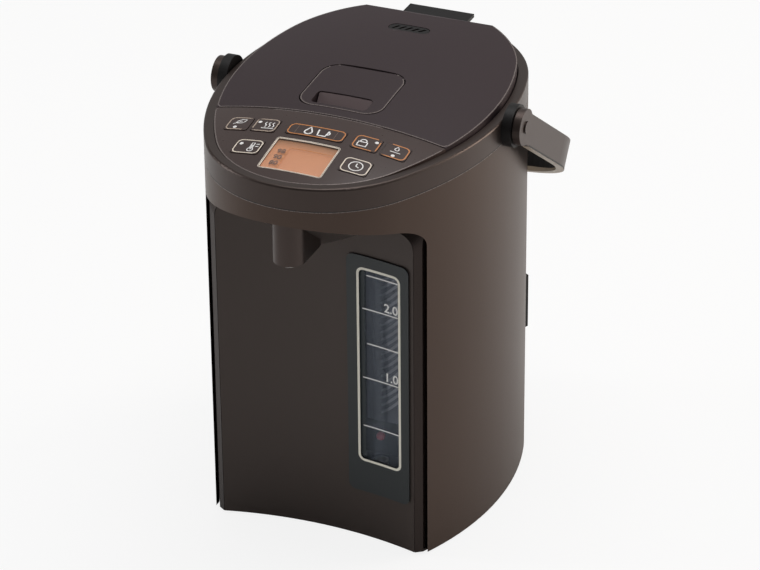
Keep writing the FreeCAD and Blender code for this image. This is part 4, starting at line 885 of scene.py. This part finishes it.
def handle_path(corner_steps=16, arm_steps=6):
    """(x, along, outward x, outward along, share of the way to the grip) on the band's inner face."""
    corner_x, corner_s = INNER_HALF - INNER_CURVE, INNER_REACH - INNER_CURVE
    half = [(INNER_HALF, ARM_START + (corner_s - ARM_START) * k / arm_steps, 1.0, 0.0,
             ARM_SHARE * k / arm_steps) for k in range(arm_steps)]
    for k in range(corner_steps + 1):
        turn = math.pi / 2 * k / corner_steps
        share = ARM_SHARE + (1 - ARM_SHARE) * min(1.0, 1.6 * k / corner_steps)
        half.append((corner_x + INNER_CURVE * math.cos(turn), corner_s + INNER_CURVE * math.sin(turn),
                     math.cos(turn), math.sin(turn), share))
    return half + [(-x, s, -out_x, out_s, share) for x, s, out_x, out_s, share in reversed(half)]


def handle_strip(name, section, finish):
    """Sweep a section, given as (outward, across) for a share of the way, along the handle."""
    verts, path = [], handle_path()
    for x, s, out_x, out_s, share in path:
        for out, across in section(share):
            u, v = x + out * out_x, s + out * out_s
            verts.append(Vector((u, AXIS_Y + v * math.cos(DROOP) + across * math.sin(DROOP),
                                 AXIS_Z - v * math.sin(DROOP) + across * math.cos(DROOP))) * MM)
    faces = sweep_faces(len(path), sides=len(section(0)))
    return mesh_piece(name, verts, faces, FINISH[finish], "handle", "head_brown")


def lip_top(share):
    """Where the pale lip, a painted highlight, ends across the band: low on the arms, higher on the grip.
    """
    return LOW + (0.6 + 2.4 * share ** 2)


def lip_section(share):
    """The lip: a foot under the band's lower edge and a flat face on its inner side."""
    foot, top = LOW - LIP_UNDER, lip_top(share)
    return [(BAND, foot), (-LIP_OUT, foot), (-LIP_OUT, top), (LET_IN, top), (LET_IN, LOW + LET_IN),
            (BAND, LOW + LET_IN)]


def inner_shade_section(share):
    """The painted shade: the rest of the band's inner side."""
    foot, top = lip_top(share), HALF_BAND - INNER_SHADE_OUT
    return [(-INNER_SHADE_OUT, foot), (-INNER_SHADE_OUT, top), (LET_IN, top), (LET_IN, foot)]


def seam_section(share):
    """A dark line along the foot of the band's outer side, the same all the way."""
    foot, top, outer, inner = LOW - 0.2, LOW + 0.9, BAND + SEAM_OUT, BAND - LET_IN
    return [(outer, top), (outer, foot), (inner, foot), (inner, top)]


# The lip's pale colour is a painted highlight, and the black over the rest of the inner side is painted
# shade; the same black also draws the dark seam line.
FINISH["lip_painted_highlight"] = moulded("lip_painted_highlight", (0.44, 0.36, 0.27), 0.35, 0.10, 900, 0.08, 0.02)
FINISH["shade_and_seam_black"] = moulded("shade_and_seam_black", (0.004, 0.003, 0.003), 0.45, 0.10, 900, 0.08, 0.02)
handle_strip("handle_lip", lip_section, "lip_painted_highlight")
handle_strip("handle_painted_shade", inner_shade_section, "shade_and_seam_black")
handle_strip("handle_seam", seam_section, "shade_and_seam_black")

# %% [markdown]
# ## Floor and light
#
# The pot stands on white, lit by large soft lamps. The casing's look comes from what it mirrors, so a
# tall lamp stands at the right rear for the warm bright flank, and the world is dimmer in front.


# %% Floor and world
FLOOR_HALF, GLOW_SHARE = 6, 0.85
WORLD_LIGHT, DIM_FRONT, BRIGHT_REAR = 0.30, 0.35, 1.3


def white_stage():
    """A white floor. To the camera most of it is a plain glow, so only soft shadows show on it."""
    mesh = bpy.data.meshes.new("floor")
    mesh.from_pydata([(x * FLOOR_HALF, y * FLOOR_HALF, 0) for x, y in ((-1, -1), (1, -1), (1, 1), (-1, 1))],
                     [], [(0, 1, 2, 3)])
    floor = bpy.data.objects.new("floor", mesh)
    bpy.context.scene.collection.objects.link(floor)
    material, tree, shader = new_material("floor_white", (0.9, 0.9, 0.9), 0.9)
    output = tree.nodes["Material Output"]
    path = add(tree, "ShaderNodeLightPath")
    glow = add(tree, "ShaderNodeEmission", Strength=1.0)
    blend = tree.nodes.new("ShaderNodeMixShader")
    share = add(tree, "ShaderNodeMath", operation="MULTIPLY")
    share.inputs[1].default_value = GLOW_SHARE
    tree.links.new(path.outputs["Is Camera Ray"], share.inputs[0])
    tree.links.new(share.outputs[0], blend.inputs["Fac"])
    tree.links.new(shader.outputs["BSDF"], blend.inputs[1])
    tree.links.new(glow.outputs["Emission"], blend.inputs[2])
    tree.links.new(blend.outputs["Shader"], output.inputs["Surface"])
    mesh.materials.append(material)


def white_world():
    """White where the camera sees it. As light it is soft, and dimmer in front of the pot."""
    world = bpy.data.worlds.new("studio")
    world.use_nodes = True
    bpy.context.scene.world = world
    tree = world.node_tree
    back = tree.nodes["Background"]
    path = add(tree, "ShaderNodeLightPath")
    side = add(tree, "ShaderNodeTexCoord")
    parts = add(tree, "ShaderNodeSeparateXYZ")
    room = add(tree, "ShaderNodeMapRange", From_Min=-0.9, From_Max=0.7,
               To_Min=WORLD_LIGHT * DIM_FRONT, To_Max=WORLD_LIGHT * BRIGHT_REAR)
    # Inputs 2 and 3 of this node are its plain numbers.
    pick = add(tree, "ShaderNodeMix", data_type="FLOAT")
    pick.inputs[3].default_value = 1.0
    back.inputs["Color"].default_value = (1, 1, 1, 1)
    tree.links.new(side.outputs["Generated"], parts.inputs["Vector"])
    tree.links.new(parts.outputs["Y"], room.inputs["Value"])
    tree.links.new(path.outputs["Is Camera Ray"], pick.inputs["Factor"])
    tree.links.new(room.outputs["Result"], pick.inputs[2])
    tree.links.new(pick.outputs[0], back.inputs["Strength"])


def lamp(name, place, aim, size_x, size_y, power, colour=(1, 1, 1)):
    """A soft rectangular lamp that looks from its place at its aim."""
    data = bpy.data.lights.new(name, "AREA")
    data.shape, data.size, data.size_y = "RECTANGLE", size_x, size_y
    data.energy, data.color = power, colour
    item = bpy.data.objects.new(name, data)
    item.location = place
    item.rotation_mode = "QUATERNION"
    item.rotation_quaternion = (Vector(aim) - Vector(place)).to_track_quat("-Z", "Y")
    bpy.context.scene.collection.objects.link(item)


white_stage()
white_world()
lamp("top_soft", (0.1, 0.3, 2.2), (0, 0, 0.2), 1.6, 1.6, 24)
lamp("rear_right", (1.6, 1.2, 0.6), (0, 0, 0.15), 0.7, 1.4, 20, (1.0, 0.88, 0.76))
lamp("left_strip", (-1.7, -0.5, 0.6), (0, 0, 0.15), 0.3, 1.4, 9)
